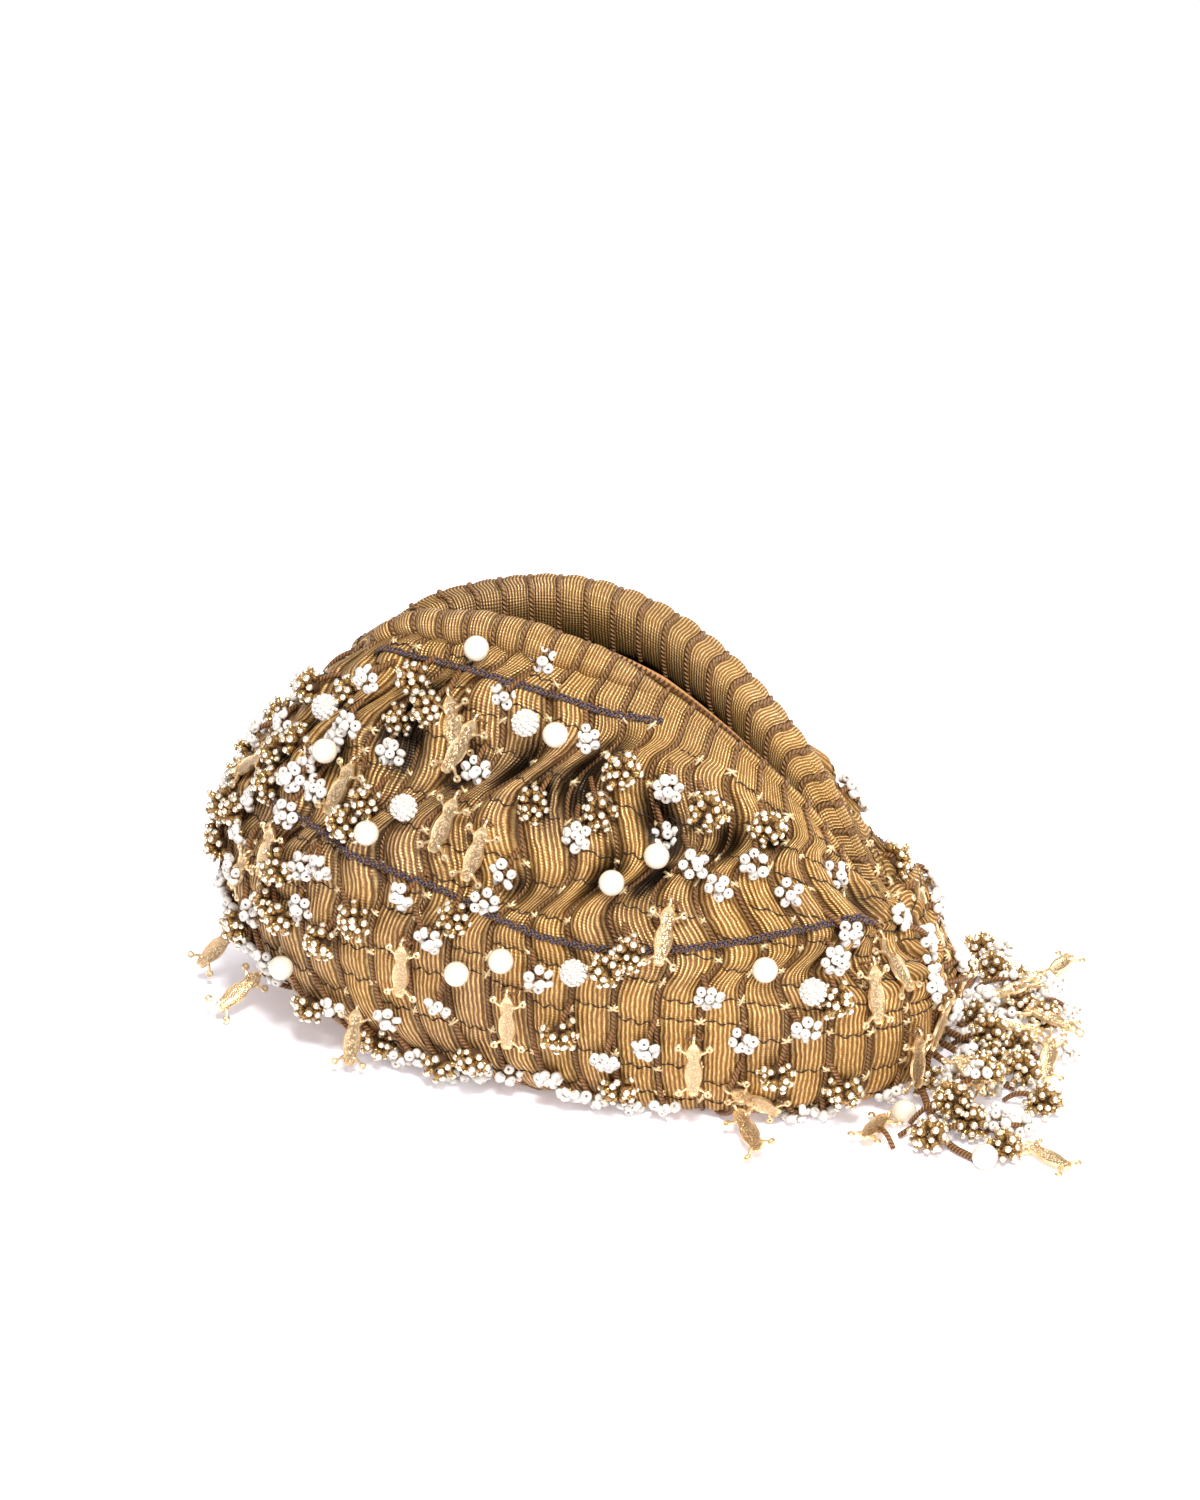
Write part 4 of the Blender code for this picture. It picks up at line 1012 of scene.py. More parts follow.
    def cords(self, name: str, lines: Sequence[np.ndarray], radius: float, finish: Finish,
              sides: int = 6) -> bpy.types.Object:
        """Sweep a round cord along each line.

        Args:
            name: The new piece's name.
            lines: Each cord's points.
            radius: The cords' radius.
            finish: Their finish.
            sides: Sides of the cord's section.

        Returns:
            The new piece.
        """
        mesh = bpy.data.meshes.new(name + "_lines")
        edges, start = [], 0
        for line in lines:
            edges += [(start + k, start + k + 1) for k in range(len(line) - 1)]
            start += len(line)
        mesh.from_pydata(np.concatenate(lines).tolist(), edges, [])
        along = np.concatenate([running_length(np.asarray(line)) for line in lines]) / MM
        mesh.attributes.new("along", "FLOAT", "POINT").data.foreach_set("value", along.astype(np.float32))
        return self.evaluate(name, mesh, self.roping, {
            "Radius": radius, "Sides": sides, "Finish": MATERIALS.of(finish)})


def turned_mesh(name: str, profile: Sequence[tuple[float, float]], sides: int, mark: str = "",
                marked_from: int = 0) -> bpy.types.Mesh:
    """Turn a closed or pole-ended profile about Z.

    Args:
        name: The mesh's name.
        profile: Radius and height of each point, from the bottom pole to the top one.
        sides: Copies of the profile round Z.
        mark: Attribute to set to 1 on the last points.
        marked_from: Index of the first marked profile point.

    Returns:
        The mesh.
    """
    work = bmesh.new()
    layer = work.verts.layers.float.new(mark) if mark else None
    rows = []
    for k, (radius, height) in enumerate(profile):
        if radius < 1e-7:
            row = [work.verts.new((0, 0, height))] * sides
        else:
            angles = (2 * math.pi * i / sides for i in range(sides))
            row = [work.verts.new((radius * math.cos(a), radius * math.sin(a), height)) for a in angles]
        for vertex in row:
            if layer and k >= marked_from:
                vertex[layer] = 1.0
        rows.append(row)
    bridge(work, rows, capped=False)
    return taken_from(work, name)


def ball_shape(name: str, radius: float, steps: int = 16) -> bpy.types.Mesh:
    """Make a ball of this radius about its own middle."""
    arc = np.linspace(0, math.pi, steps + 1)
    return turned_mesh(name, [(radius * math.sin(a), -radius * math.cos(a)) for a in arc], round(steps * 1.75))


def ring_mesh(name: str, radius: float, wire: float, sides: int, wire_sides: int, flat: float = 1.0,
              mark: str = "") -> bpy.types.Mesh:
    """Make a ring about Z, its hole marked if asked.

    Args:
        name: The mesh's name.
        radius: Radius of the ring's middle line.
        wire: Radius of its section.
        sides: Sides round the ring.
        wire_sides: Sides round its section.
        flat: Height of the section over its width.
        mark: Attribute to set to 1 inside the hole.

    Returns:
        The mesh.
    """
    vertices, faces, marks = [], [], []
    for i in range(sides):
        a = 2 * math.pi * i / sides
        for j in range(wire_sides):
            b = 2 * math.pi * j / wire_sides
            reach = radius + wire * math.cos(b)
            vertices.append((reach * math.cos(a), reach * math.sin(a), wire * flat * math.sin(b)))
            marks.append(1.0 if math.cos(b) < -0.6 else 0.0)
    for i in range(sides):
        for j in range(wire_sides):
            here, there = i * wire_sides, (i + 1) % sides * wire_sides
            after = (j + 1) % wire_sides
            faces.append((here + j, there + j, there + after, here + after))
    mesh = bpy.data.meshes.new(name)
    mesh.from_pydata(vertices, [], faces)
    if mark:
        mesh.attributes.new(mark, "FLOAT", "POINT").data.foreach_set("value", marks)
    mesh.shade_smooth()
    return mesh


def fibonacci(count: int, lowest: float = -1.0) -> list[Vector]:
    """Spread unit vectors over a ball, from the top down to a lowest height."""
    vectors = []
    for k in range(count):
        z = 1 - (1 - lowest) * (k + 0.5) / count
        angle = k * math.pi * (3 - math.sqrt(5))
        reach = math.sqrt(max(0.0, 1 - z * z))
        vectors.append(Vector((reach * math.cos(angle), reach * math.sin(angle), z)))
    return vectors


@dataclass
class LipFacing:
    """The rear ribbons' ends, folded over the roll and down inside the mouth in front of the tape."""

    body: RibbonBody
    first: float = 22.3
    last: float = 43.7
    steps: int = 7
    thickness: float = 0.00045
    crown: float = 0.0007
    roll_stops: tuple[float, ...] = (96.0, 112.0)
    # inset from the lip line and drop below it, in metres
    stops: tuple[tuple[float, float], ...] = (
        (0.0044, -0.0004), (0.0062, 0.0002), (0.0074, 0.0018), (0.0080, 0.0042), (0.0082, 0.0070), (0.0080, 0.0100),
        (0.0074, 0.0130), (0.0065, 0.0156), (0.0055, 0.0176),
    )

    def path(self, cord: np.ndarray, back: float = 0.0) -> np.ndarray:
        """Give the rings of the facing over these cords, from the roll down inside.

        Args:
            cord: Places round the pouch.
            back: How far to stay behind the facing's face.

        Returns:
            The rings' points.
        """
        outward, upright = FORM.lip_frame(cord)
        profile = rib_profile(cord)
        rings = []
        for angle in self.roll_stops:
            way = outward * math.cos(math.radians(angle)) + upright * math.sin(math.radians(angle))
            rings.append(self.body.roll(cord, angle) + way * (0.0002 - back))
        for k, (inset, drop) in enumerate(self.stops):
            ring = FORM.inset_ring(cord, 1.0, inset - back * min(1.0, k / 2))
            ring -= outward * (self.crown * profile * min(1.0, k / 3))[:, None]
            ring[:, 2] -= drop + back * max(0.0, 1 - k / 2) + 0.0006 * np.sin(cord * 2.3 + k * 0.8) * min(1.0, k / 4)
            rings.append(ring)
        return np.array(rings)

    def seam_line(self, cord: int, radius: float) -> np.ndarray:
        """Give one seam cord's line down the facing."""
        at = np.array([float(cord)])
        outward, upright = FORM.lip_frame(at)
        line = self.path(at)[:, 0]
        share = np.linspace(0, 1, len(line))[:, None] ** 0.5
        return evenly(line + (upright * (1 - share) - outward * share) * (radius * 0.7), 20)

    def build(self) -> None:
        """Make the facing as one closed folded strip of ribbons."""
        cord = np.linspace(self.first, self.last, round((self.last - self.first) * self.steps) + 1)
        ribbon_sheet("rear_lip_facing", cord, self.path(cord), self.path(cord, self.thickness), 0.5)


@dataclass
class FrontRoll:
    """The thick turn of ribbons rolled over the left part of the front lip, with a crease under it."""

    body: RibbonBody
    first: float = 10.0
    last: float = 22.2
    steps: int = 7
    thickness: float = 0.0005
    swell: float = 0.0026
    angles: tuple[float, ...] = tuple(np.linspace(-62, 158, 17))

    def path(self, cord: np.ndarray, back: float = 0.0) -> np.ndarray:
        """Give the roll's rings over these cords, from the crease outside over the top to the inside.

        Args:
            cord: Places round the pouch.
            back: How far to stay behind the roll's face.

        Returns:
            The rings' points.
        """
        outward, upright = FORM.lip_frame(cord)
        profile = rib_profile(cord)
        taper = smooth_step(self.first, self.first + 2.2, cord) * (1 - smooth_step(self.last - 1.6, self.last, cord))
        rings = []
        for angle in self.angles:
            way = outward * math.cos(math.radians(angle)) + upright * math.sin(math.radians(angle))
            ends = np.sin(np.clip((angle + 62) / 220, 0, 1) * np.pi) ** 0.45
            reach = self.swell * taper * ends * (0.72 + 0.28 * profile) * (1 + 0.12 * np.sin(cord * 3.1))
            rings.append(self.body.roll(cord, angle) + way * (reach - 0.0005 * (1 - ends) - back)[:, None])
        return np.array(rings)

    def seam_line(self, cord: int, radius: float) -> np.ndarray:
        """Give one seam cord's line over the roll."""
        return evenly(self.path(np.array([float(cord)]), -radius * 0.6)[:, 0], 24)

    def build(self) -> None:
        """Make the roll as one closed folded strip of ribbons."""
        cord = np.linspace(self.first, self.last, round((self.last - self.first) * self.steps) + 1)
        ribbon_sheet("front_lip_roll", cord, self.path(cord), self.path(cord, self.thickness), 0.1)


def ribbon_sheet(name: str, cord: np.ndarray, front: np.ndarray, behind: np.ndarray, shade: float) -> None:
    """Make a closed strip of ribbons from its face and back.

    Args:
        name: The piece's name.
        cord: Places of its columns.
        front: Its face's rings.
        behind: Its back's rings.
        shade: How dark its last ring is.
    """
    count, rows = len(cord), len(front) + len(behind)
    run = running_length(front[:, count // 2]) / MM
    run = np.concatenate([run, run[::-1]])
    faces, uvs = [], []
    for k in range(rows):
        after = (k + 1) % rows
        for i in range(count - 1):
            faces.append((k * count + i, k * count + i + 1, after * count + i + 1, after * count + i))
            uvs += [(cord[i], run[k]), (cord[i + 1], run[k]), (cord[i + 1], run[after]), (cord[i], run[after])]
    for side in (0, count - 1):
        faces.append(tuple(k * count + side for k in range(rows)))
        uvs += [(cord[side], run[k]) for k in range(rows)]
    # painted shade: none over the first third of the face, rising to the given shade at its last ring, and 0.8 over the
    # back
    depth = np.linspace(-shade / 2, shade, len(front)).clip(0)
    marks = np.repeat(np.concatenate([depth, np.full(len(behind), 0.8)]), count)
    ribbon_piece(name, np.concatenate([front, behind[::-1]]), faces, np.array(uvs), marks)


@dataclass
class SeamWork:
    """Cords over the ribbons' seams, the knots that couch them and the running stitches between."""

    radius: float = 0.00078
    step: float = 0.0011
    knot_length: float = 0.0034
    knot_wire: float = 0.00034
    stitch_wire: float = 0.00024
    stitch_pitch: float = 0.0026
    body: RibbonBody = field(default_factory=RibbonBody)

    def seam_line(self, cord: int) -> np.ndarray:
        """Give the line of one seam's cord from the base's edge over the rolled lip."""
        wall, column = np.array(self.body.rings), cord * self.body.columns
        rings = wall[:, column]
        across = wall[:, (column + 1) % wall.shape[1]] - wall[:, column - 1]
        out = unit(np.cross(np.gradient(rings, axis=0), across))
        middle = np.array([FORM.belly_offset, 0.0, 0.05])
        half = self.body.outer_rings // 2
        if (out[half] * (rings[half] - middle)).sum() < 0:
            out = -out
        line = rings + out * (self.radius * 0.75)
        line[:, 2] = np.maximum(line[:, 2], self.radius)
        return evenly(line, int(running_length(line)[-1] / self.step))

    def cords(self, workshop: NodeWorkshop) -> None:
        """Lay a cord over every seam."""
        lines = [self.seam_line(cord) for cord in range(FORM.ribs)]
        for facing in (LipFacing(self.body), FrontRoll(self.body)):
            cords = range(math.ceil(facing.first), int(facing.last) + 1)
            lines += [facing.seam_line(cord, self.radius) for cord in cords]
        sew_on(workshop.cords("seam_cords", lines, self.radius, SEAM_CORD))

    def knots(self, workshop: NodeWorkshop, skin: Skin) -> None:
        """Tie crossed gold threads over each seam cord at the couching rows."""
        thread = straight_thread("couching_thread", self.knot_length, self.knot_wire)
        places = Copies()
        for cord in range(FORM.ribs):
            for row in range(1, self.body.pucker_rows):
                rise = float(self.body.row_rise(np.array(cord + 0.5), row))
                if rise > TOP_RISE:
                    continue
                at = cord + float(FORM.sway(np.array(float(cord)), np.array(rise)))
                point, downhill, outward = skin.seat(at, rise)
                across = downhill.cross(outward)
                point = point + outward * self.knot_wire * 1.9
                for tilt in (0.5, -0.45, 2.2):
                    along = (across + downhill * tilt).normalized()
                    side = outward.cross(along)
                    places.add(point, frame_turn(along, side, outward), 1.1 + 0.3 * math.sin(cord * 3.3 + row + tilt))
        sew_on(workshop.copies("couching_knots", places, thread, GOLD_THREAD))

    def stitches(self, workshop: NodeWorkshop) -> None:
        """Run dark stitches across each ribbon along the couching rows, dipping in and out of the cloth."""
        lines = []
        share = np.linspace(0.12, 0.88, 15)
        for rib in range(FORM.ribs):
            for row in range(1, self.body.pucker_rows):
                cord = rib + share
                rise = self.body.row_rise(cord, row)
                rise = rise + 0.0035 * np.sin(share * 17 + rib + row)
                if rise.max() > TOP_RISE:
                    continue
                points = self.body.outer(cord, rise)
                _, normal = FORM.slopes(cord, rise)
                phase = 2 * np.pi * share * 0.012 / self.stitch_pitch
                lines.append(points + normal * (0.00012 + 0.00028 * np.sin(phase + rib))[:, None])
        sew_on(workshop.cords("running_stitches", lines, self.stitch_wire, DARK_THREAD, sides=4))


def straight_thread(name: str, length: float, wire: float) -> bpy.types.Mesh:
    """Make a short bowed thread along X that dips at both ends."""
    ends = [(-0.5, -0.35), (-0.36, 0.45), (0.0, 0.8), (0.36, 0.45), (0.5, -0.35)]
    work = bmesh.new()
    rows = []
    for share, height in ends:
        centre = Vector((share * length, 0, height * length * 0.28))
        angles = (math.pi / 2.5 * i for i in range(5))
        rows.append([work.verts.new(centre + Vector((0, wire * math.cos(a), wire * math.sin(a)))) for a in angles])
    bridge(work, rows)
    return taken_from(work, name)


@dataclass
class Braids:
    """Chain braids couched over the ribs."""

    width: float = 0.0017
    strand: float = 0.00050
    pitch: float = 0.0046
    lift: float = 0.0002
    routes: dict[str, tuple[Place, ...]] = field(default_factory=lambda: {
        "braid_upper_front": ((9.7, 0.945), (11.0, 0.910), (13.5, 0.887), (16.5, 0.885), (19.5, 0.900)),
        "braid_upper_back": ((24.5, 0.890), (28.0, 0.870), (31.0, 0.870), (34.5, 0.885)),
        "braid_middle_front": ((1.8, 0.72), (3.3, 0.68), (4.4, 0.63), (6.2, 0.555), (8.3, 0.483),
                               (10.7, 0.452), (13.5, 0.483), (15.5, 0.492), (17.8, 0.525), (20.3, 0.530)),
        "braid_middle_back": ((23.7, 0.530), (28.0, 0.495), (33.0, 0.465), (37.5, 0.540), (42.0, 0.700)),
    })

    def heights(self, cord: np.ndarray, rise: np.ndarray, normal: np.ndarray) -> np.ndarray:
        """Give how far over the mean surface the braid lies, so that it bridges the ribbons' tops."""
        base = FORM.point(cord, rise)
        found = [SKIN.hit(Vector(p + n * 0.02), Vector(-n), 0.04) for p, n in zip(base, normal)]
        height = np.array([0.0 if hit is None else (np.array(hit) - p) @ n for hit, p, n in zip(found, base, normal)])
        padded = np.pad(height, 4, mode="edge")
        highest = np.array([padded[k:k + 9].max() for k in range(len(height))])
        return np.convolve(np.pad(highest, 3, mode="edge"), np.full(7, 1 / 7), mode="valid") + self.lift

    def build(self, workshop: NodeWorkshop) -> None:
        """Plait three strands along each route."""
        for name, stops in self.routes.items():
            cords, rises = np.array(stops).T
            cord = np.arange(cords[0], cords[-1], 0.04)
            rise = smooth_curve(cords, rises, cord)
            uphill, normal = FORM.slopes(cord, rise)
            centre = FORM.point(cord, rise) + normal * self.heights(cord, rise, normal)[:, None]
            turn = 2 * np.pi * running_length(centre) / self.pitch
            lines = []
            for strand in range(3):
                phase = turn + strand * 2 * np.pi / 3
                side = uphill * (self.width / 2 * np.sin(phase))[:, None]
                lines.append(centre + side + normal * (0.0004 * np.sin(2 * phase))[:, None])
            piece = workshop.cords(name + "_plait", lines[:2], self.strand, BRAID_THREAD, sides=5)
            sew_on(piece, replaces=[name])
            gold = workshop.cords(name + "_gold_strand", lines[2:], self.strand * 0.8, SEAM_CORD, sides=5)
            sew_on(gold)


@dataclass
class MouthBinding:
    """A tan tape inside the mouth that stands over the front lip's right half, whip-stitched along its edge."""

    thickness: float = 0.0015
    drop: float = 0.003
    columns: int = 6
    stitch_length: float = 0.0028
    stitch_pitch: float = 0.19

    def top(self, cord: np.ndarray) -> np.ndarray:
        """Give how far the tape stands above the lip line."""
        rises = FORM.lip_columns()[5]
        return FORM.lip_value(cord, rises, np.full(len(rises), rises.min()))

    def build(self) -> None:
        """Make the tape as one closed strip with a rounded top edge."""
        count = FORM.ribs * self.columns
        cord = np.arange(count) / self.columns
        top, bottom = self.top(cord), np.full(count, -self.drop)
        near, far = FORM.wall + FORM.gap, FORM.wall + FORM.gap + self.thickness
        edge = 0.00045
        corners = (
            (near, bottom), (near, (top + bottom) / 2), (near, top - edge), (near + edge, top), (far - edge, top),
            (far, top - edge), (far, bottom),
        )
        rings = []
        for inset, lift in corners:
            ring = FORM.inset_ring(cord, 1.0, inset)
            ring[:, 2] += lift
            rings.append(ring)
        faces = []
        for k in range(len(rings)):
            below, above = k * count, (k + 1) % len(rings) * count
            faces += [(below + i, below + (i + 1) % count, above + (i + 1) % count, above + i) for i in range(count)]
        mesh = bpy.data.meshes.new("mouth_tape")
        mesh.from_pydata(np.concatenate(rings).tolist(), [], faces)
        sew_on(new_object("mouth_tape", face_outward(mesh, 50), TAPE), replaces=["mouth_binding"])

    def whip(self, workshop: NodeWorkshop) -> None:
        """Sew dark slanting stitches over the tape's lower edge."""
        thread = straight_thread("whip_thread", self.stitch_length, 0.0003)
        places = Copies()
        cord = np.arange(1.2, 12.4, self.stitch_pitch)
        ring = FORM.inset_ring(cord, 1.0, FORM.wall + FORM.gap)
        ring[:, 2] += 0.35 * self.top(cord) + 0.0004
        outward, upright = FORM.lip_frame(cord)
        for point, out, up in zip(ring, outward, upright):
            out, up = Vector(out), Vector(up)
            side = up.cross(out)
            along = (up + side * 0.55).normalized()
            places.add(Vector(point) + out * 0.0003, frame_turn(along, out.cross(along), out))
        sew_on(workshop.copies("whip_stitches", places, thread, DARK_THREAD))


def nodes_of(prefix: str) -> list[str]:
    """List the frame's nodes whose name is the prefix and a number."""
    found = [n for n in FRAME["nodes"] if n.startswith(prefix) and n[len(prefix):].isdigit()]
    return sorted(found, key=lambda n: int(n[len(prefix):]))


def box_middle(node: str) -> Vector:
    """Give the middle of a node's box."""
    low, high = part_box(node)
    return (low + high) / 2


@dataclass
class BeadWork:
    """Pearls, bead flowers, gold drop bunches and beaded balls, sewn on with short cords."""

    seed_radius: float = 0.00165
    flower_radius: float = 0.0034
    drop_length: float = 0.0046
    bunch_core: float = 0.0027
    stem_radius: float = 0.0009
    pearl_radius: float = 0.004
    ball_radius: float = 0.0044
    ball_seed: float = 0.00086
    # radius that a flower and a bunch keep to themselves, and the share of it that others stay out of
    flower_room: float = 0.0046
    bunch_room: float = 0.0056
    crowding: float = 0.74
    # pieces that are tried at random places over the rear, the left end and the foot
    rear_tries: int = 60
    left_tries: int = 110
    foot_tries: int = 60
    seeds: Copies = field(default_factory=Copies)
    drops: Copies = field(default_factory=Copies)
    cores: Copies = field(default_factory=Copies)
    hearts: Copies = field(default_factory=Copies)
    stems: list[np.ndarray] = field(default_factory=list)
    taken: list[tuple[Vector, float]] = field(default_factory=list)
    draw: random.Random = field(default_factory=lambda: random.Random(11))
    # the first places are those of the wall's own solids
    flower_places: tuple[Place, ...] = (
        (18.1, 0.815), (11.5, 0.84), (20.4, 0.68), (19.4, 0.42), (17.1, 0.43), (13.2, 0.25), (18.8, 0.17),
        (10.7, 0.16), (8.2, 0.26), (6.0, 0.74), (3.1, 0.83), (6.8, 0.40), (13.9, 0.95), (16.4, 0.69),
        (18.3, 0.59), (19.3, 0.33), (20.4, 0.26), (12.1, 0.55), (10.7, 0.66), (10.7, 0.36), (14.7, 0.20),
        (12.0, 0.12), (7.6, 0.69), (5.0, 0.70), (3.9, 0.55), (1.2, 0.43), (6.0, 0.29), (7.9, 0.12),
        (8.8, 0.82), (21.2, 0.62), (21.8, 0.44), (16.4, 0.18), (0.6, 0.52), (43.3, 0.40),
        (0.2, 0.27), (1.0, 0.74), (42.6, 0.60), (27.0, 0.39), (33.6, 0.72), (36.0, 0.62), (41.2, 0.50),
    )
    bunch_places: tuple[Place, ...] = (
        (16.0, 0.79), (12.1, 0.69), (10.2, 0.81), (21.0, 0.36), (15.3, 0.37), (12.6, 0.17), (10.2, 0.26),
        (5.2, 0.24), (7.5, 0.81), (16.2, 0.29), (3.6, 0.20), (5.7, 0.84), (20.2, 0.78), (22.4, 0.52),
        (22.6, 0.34), (17.4, 0.16), (9.0, 0.16), (26.5, 0.78), (31.0, 0.72), (35.4, 0.44), (37.0, 0.28),
    )
    more_flowers: tuple[Place, ...] = (
        (14.3, 0.86), (13.9, 0.71), (14.3, 0.45), (12.3, 0.49), (10.3, 0.07), (3.4, 0.63), (2.2, 0.15), (6.9, 0.05),
        (4.2, 0.08), (8.5, 0.73), (20.9, 0.53), (43.2, 0.14), (43.6, 0.62), (13.1, 0.65), (9.2, 0.22), (17.9, 0.72),
        (19.9, 0.16), (15.4, 0.10), (21.2, 0.22), (19.6, 0.50), (16.9, 0.34), (12.4, 0.34), (5.5, 0.15), (1.6, 0.62),
        (0.4, 0.64), (42.0, 0.42), (18.6, 0.27), (13.4, 0.38), (6.9, 0.66), (4.6, 0.34),
    )
    more_bunches: tuple[Place, ...] = (
        (18.7, 0.79), (19.2, 0.55), (10.4, 0.72), (15.2, 0.64), (9.2, 0.43), (8.7, 0.47), (21.4, 0.50), (22.0, 0.40),
        (17.4, 0.30), (13.8, 0.13), (7.2, 0.19), (0.9, 0.58), (42.9, 0.30), (2.0, 0.06), (19.9, 0.62), (21.6, 0.28),
        (16.6, 0.55), (14.4, 0.55), (12.9, 0.44), (20.6, 0.44), (11.2, 0.22), (1.2, 0.17), (3.9, 0.44), (17.0, 0.84),
    )

    def free(self, point: Vector, radius: float) -> bool:
        """Say whether a piece of this radius has room at a point."""
        return all((point - other).length > (radius + taken) * self.crowding for other, taken in self.taken)

    def take(self, point: Vector, radius: float) -> None:
        """Keep later pieces off this place."""
        self.taken.append((point, radius))

    def stem(self, skin: Skin, place: Place, to: Vector) -> None:
        """Sew the piece to the wall with a short cord that starts at a seam above it.

        Args:
            skin: What the cord starts on.
            place: The piece's place.
            to: The piece's middle.
        """
        cord = round(place[0] + 0.2)
        start, _, outward = skin.seat(cord, min(TOP_RISE, place[1] + 0.055))
        self.stems.append(bow(start, (start + to) / 2 + outward * 0.0028, to, 9))

    def flower(self, centre: Vector, out: Vector, count: int) -> None:
        """Ring seed beads round a small gold bead.

        Args:
            centre: The flower's middle.
            out: The way it faces.
            count: How many seed beads it has.
        """
        side = out.orthogonal().normalized()
        other = out.cross(side)
        spin = self.draw.uniform(0, 6.28)
        squash = self.draw.uniform(0.86, 1.08)
        for k in range(count):
            angle = spin + 2 * math.pi * k / count + self.draw.uniform(-0.16, 0.16)
            way = side * (math.cos(angle) * squash) + other * math.sin(angle)
            lift = out * self.draw.uniform(-0.0007, 0.0012)
            axis = (way * self.draw.uniform(-0.2, 0.8) + out * self.draw.uniform(0.2, 1.0)
                    + way.cross(out) * self.draw.uniform(-0.8, 0.8)).normalized()
            self.seed(centre + way * self.flower_radius + lift, axis, 0.9, 1.1)
        self.hearts.add(centre - out * 0.0006, turn_to(out))
        for _ in range(self.draw.choice((1, 1, 2, 2, 3))):
            angle = self.draw.uniform(0, 6.28)
            way = side * math.cos(angle) + other * math.sin(angle)
            axis = (out + way * self.draw.uniform(-1.2, 1.2)).normalized()
            point = centre + out * self.draw.uniform(0.0014, 0.0026) + way * self.draw.uniform(0.0003, 0.0015)
            self.seed(point, axis, 0.88, 1.0)

    def seed(self, point: Vector, axis: Vector, least: float, most: float) -> None:
        """Add a seed bead, clear of the table, of a size between two scales."""
        point.z = max(point.z, self.seed_radius * 1.2)
        self.seeds.add(point, turn_to(axis), self.draw.uniform(least, most))

    def bunch(self, centre: Vector, out: Vector, count: int, lowest: float) -> None:
        """Fan drop beads out from a dark core.

        Args:
            centre: The core's middle.
            out: The way the bunch faces.
            count: How many drop beads it has.
            lowest: Cosine of the widest angle from the way it faces.
        """
        side = out.orthogonal().normalized()
        other = out.cross(side)
        self.cores.add(centre, turn_to(out))
        for way in fibonacci(count, lowest):
            along = side * way.x + other * way.y + out * way.z
            along = (along + Vector([self.draw.uniform(-0.16, 0.16) for _ in range(3)])).normalized()
            foot = centre + along * (self.bunch_core * self.draw.uniform(0.5, 1.1))
            foot.z = max(foot.z, self.drop_length * (0.28 - 1.1 * min(0.0, along.z)))
            self.drops.add(foot, turn_to(along), self.draw.uniform(0.85, 1.08))

    def sew_flowers(self, skin: Skin) -> None:
        """Sew the bead flowers and gold bunches at their places, and more of both where they are dense."""
        rear = []
        for k in range(self.rear_tries):
            rear.append((23.2 + 19.6 * self.draw.random(), 0.10 + 0.72 * self.draw.random(), k % 2 == 0))
        wanted = [(*place, True) for place in self.flower_places] + [(*place, False) for place in self.bunch_places]
        kept = len(wanted)
        wanted += [(*place, False) for place in self.more_bunches] + [(*place, True) for place in self.more_flowers]
        for k in range(self.left_tries):
            wanted.append((22.5 - 6.5 * self.draw.random() ** 1.4, self.draw.uniform(0.16, 0.84), k % 5 < 2))
        for k in range(self.foot_tries):
            wanted.append((self.draw.uniform(1.0, 17.0), self.draw.uniform(0.04, 0.13), k % 2 == 0))
        for k, (cord, rise, is_flower) in enumerate(wanted + rear):
            point, downhill, outward = skin.seat(cord, rise)
            radius = self.flower_room if is_flower else self.bunch_room
            if k >= kept and (point.z < radius * 0.8 or not self.free(point, radius)):
                continue
            self.take(point, radius)
            tilt = (outward + downhill * self.draw.uniform(0.0, 0.45)
                    + downhill.cross(outward) * self.draw.uniform(-0.3, 0.3)).normalized()
            if is_flower:
                centre = point + outward * 0.0021
                self.flower(centre, tilt, self.draw.choice((5, 6, 6, 7)))
            else:
                centre = point + outward * 0.0018
                self.bunch(centre, tilt, self.draw.choice((17, 19, 22)), -0.05)
            self.stem(skin, (cord, rise), centre)

    def sew_pearls(self, skin: Skin) -> None:
        """Turn each pearl as a true ball, and wrap the beaded balls in seed beads."""
        sphere = ball_shape("pearl_shape", self.pearl_radius)
        places, nodes = Copies(), nodes_of("pearl_")
        for node in nodes:
            centre = box_middle(node)
            places.add(centre, Quaternion())
            self.take(centre, self.pearl_radius + 0.001)
        sew_on(WORKSHOP.copies("sewn_pearls", places, sphere, PEARL), replaces=nodes)
        balls, hearts, nodes = Copies(), Copies(), nodes_of("beaded_ball_")
        small = ball_shape("ball_seed", self.ball_seed, 5)
        for node in nodes:
            centre = box_middle(node)
            self.take(centre, self.ball_radius + 0.001)
            for way in fibonacci(66):
                point = centre + way * (self.ball_radius - self.ball_seed * 0.9)
                balls.add(point, turn_to(way), self.draw.uniform(0.9, 1.08))
            hearts.add(centre, Quaternion())
        sew_on(WORKSHOP.copies("ball_beads", balls, small, SEED), replaces=nodes)
        heart = ball_shape("ball_heart", self.ball_radius - self.ball_seed, 10)
        sew_on(WORKSHOP.copies("ball_hearts", hearts, heart, PEARL))
        for charm in CHARM_SPOTS.values():
            for swing in (0.0, 0.35, 0.7, 1.05):
                way = charm.along * math.cos(swing) + charm.out * math.sin(swing)
                for share in (*CHARM_STOPS, 1.05):
                    self.take(charm.hub + way * (CHARM_LENGTH * share), CHARM_ROOM)

    def seed_shape(self) -> bpy.types.Mesh:
        """Make one seed bead about its hole's axis."""
        return ring_mesh("seed_shape", self.seed_radius * 0.60, self.seed_radius * 0.52, 9, 6, 1.35, mark="hole")

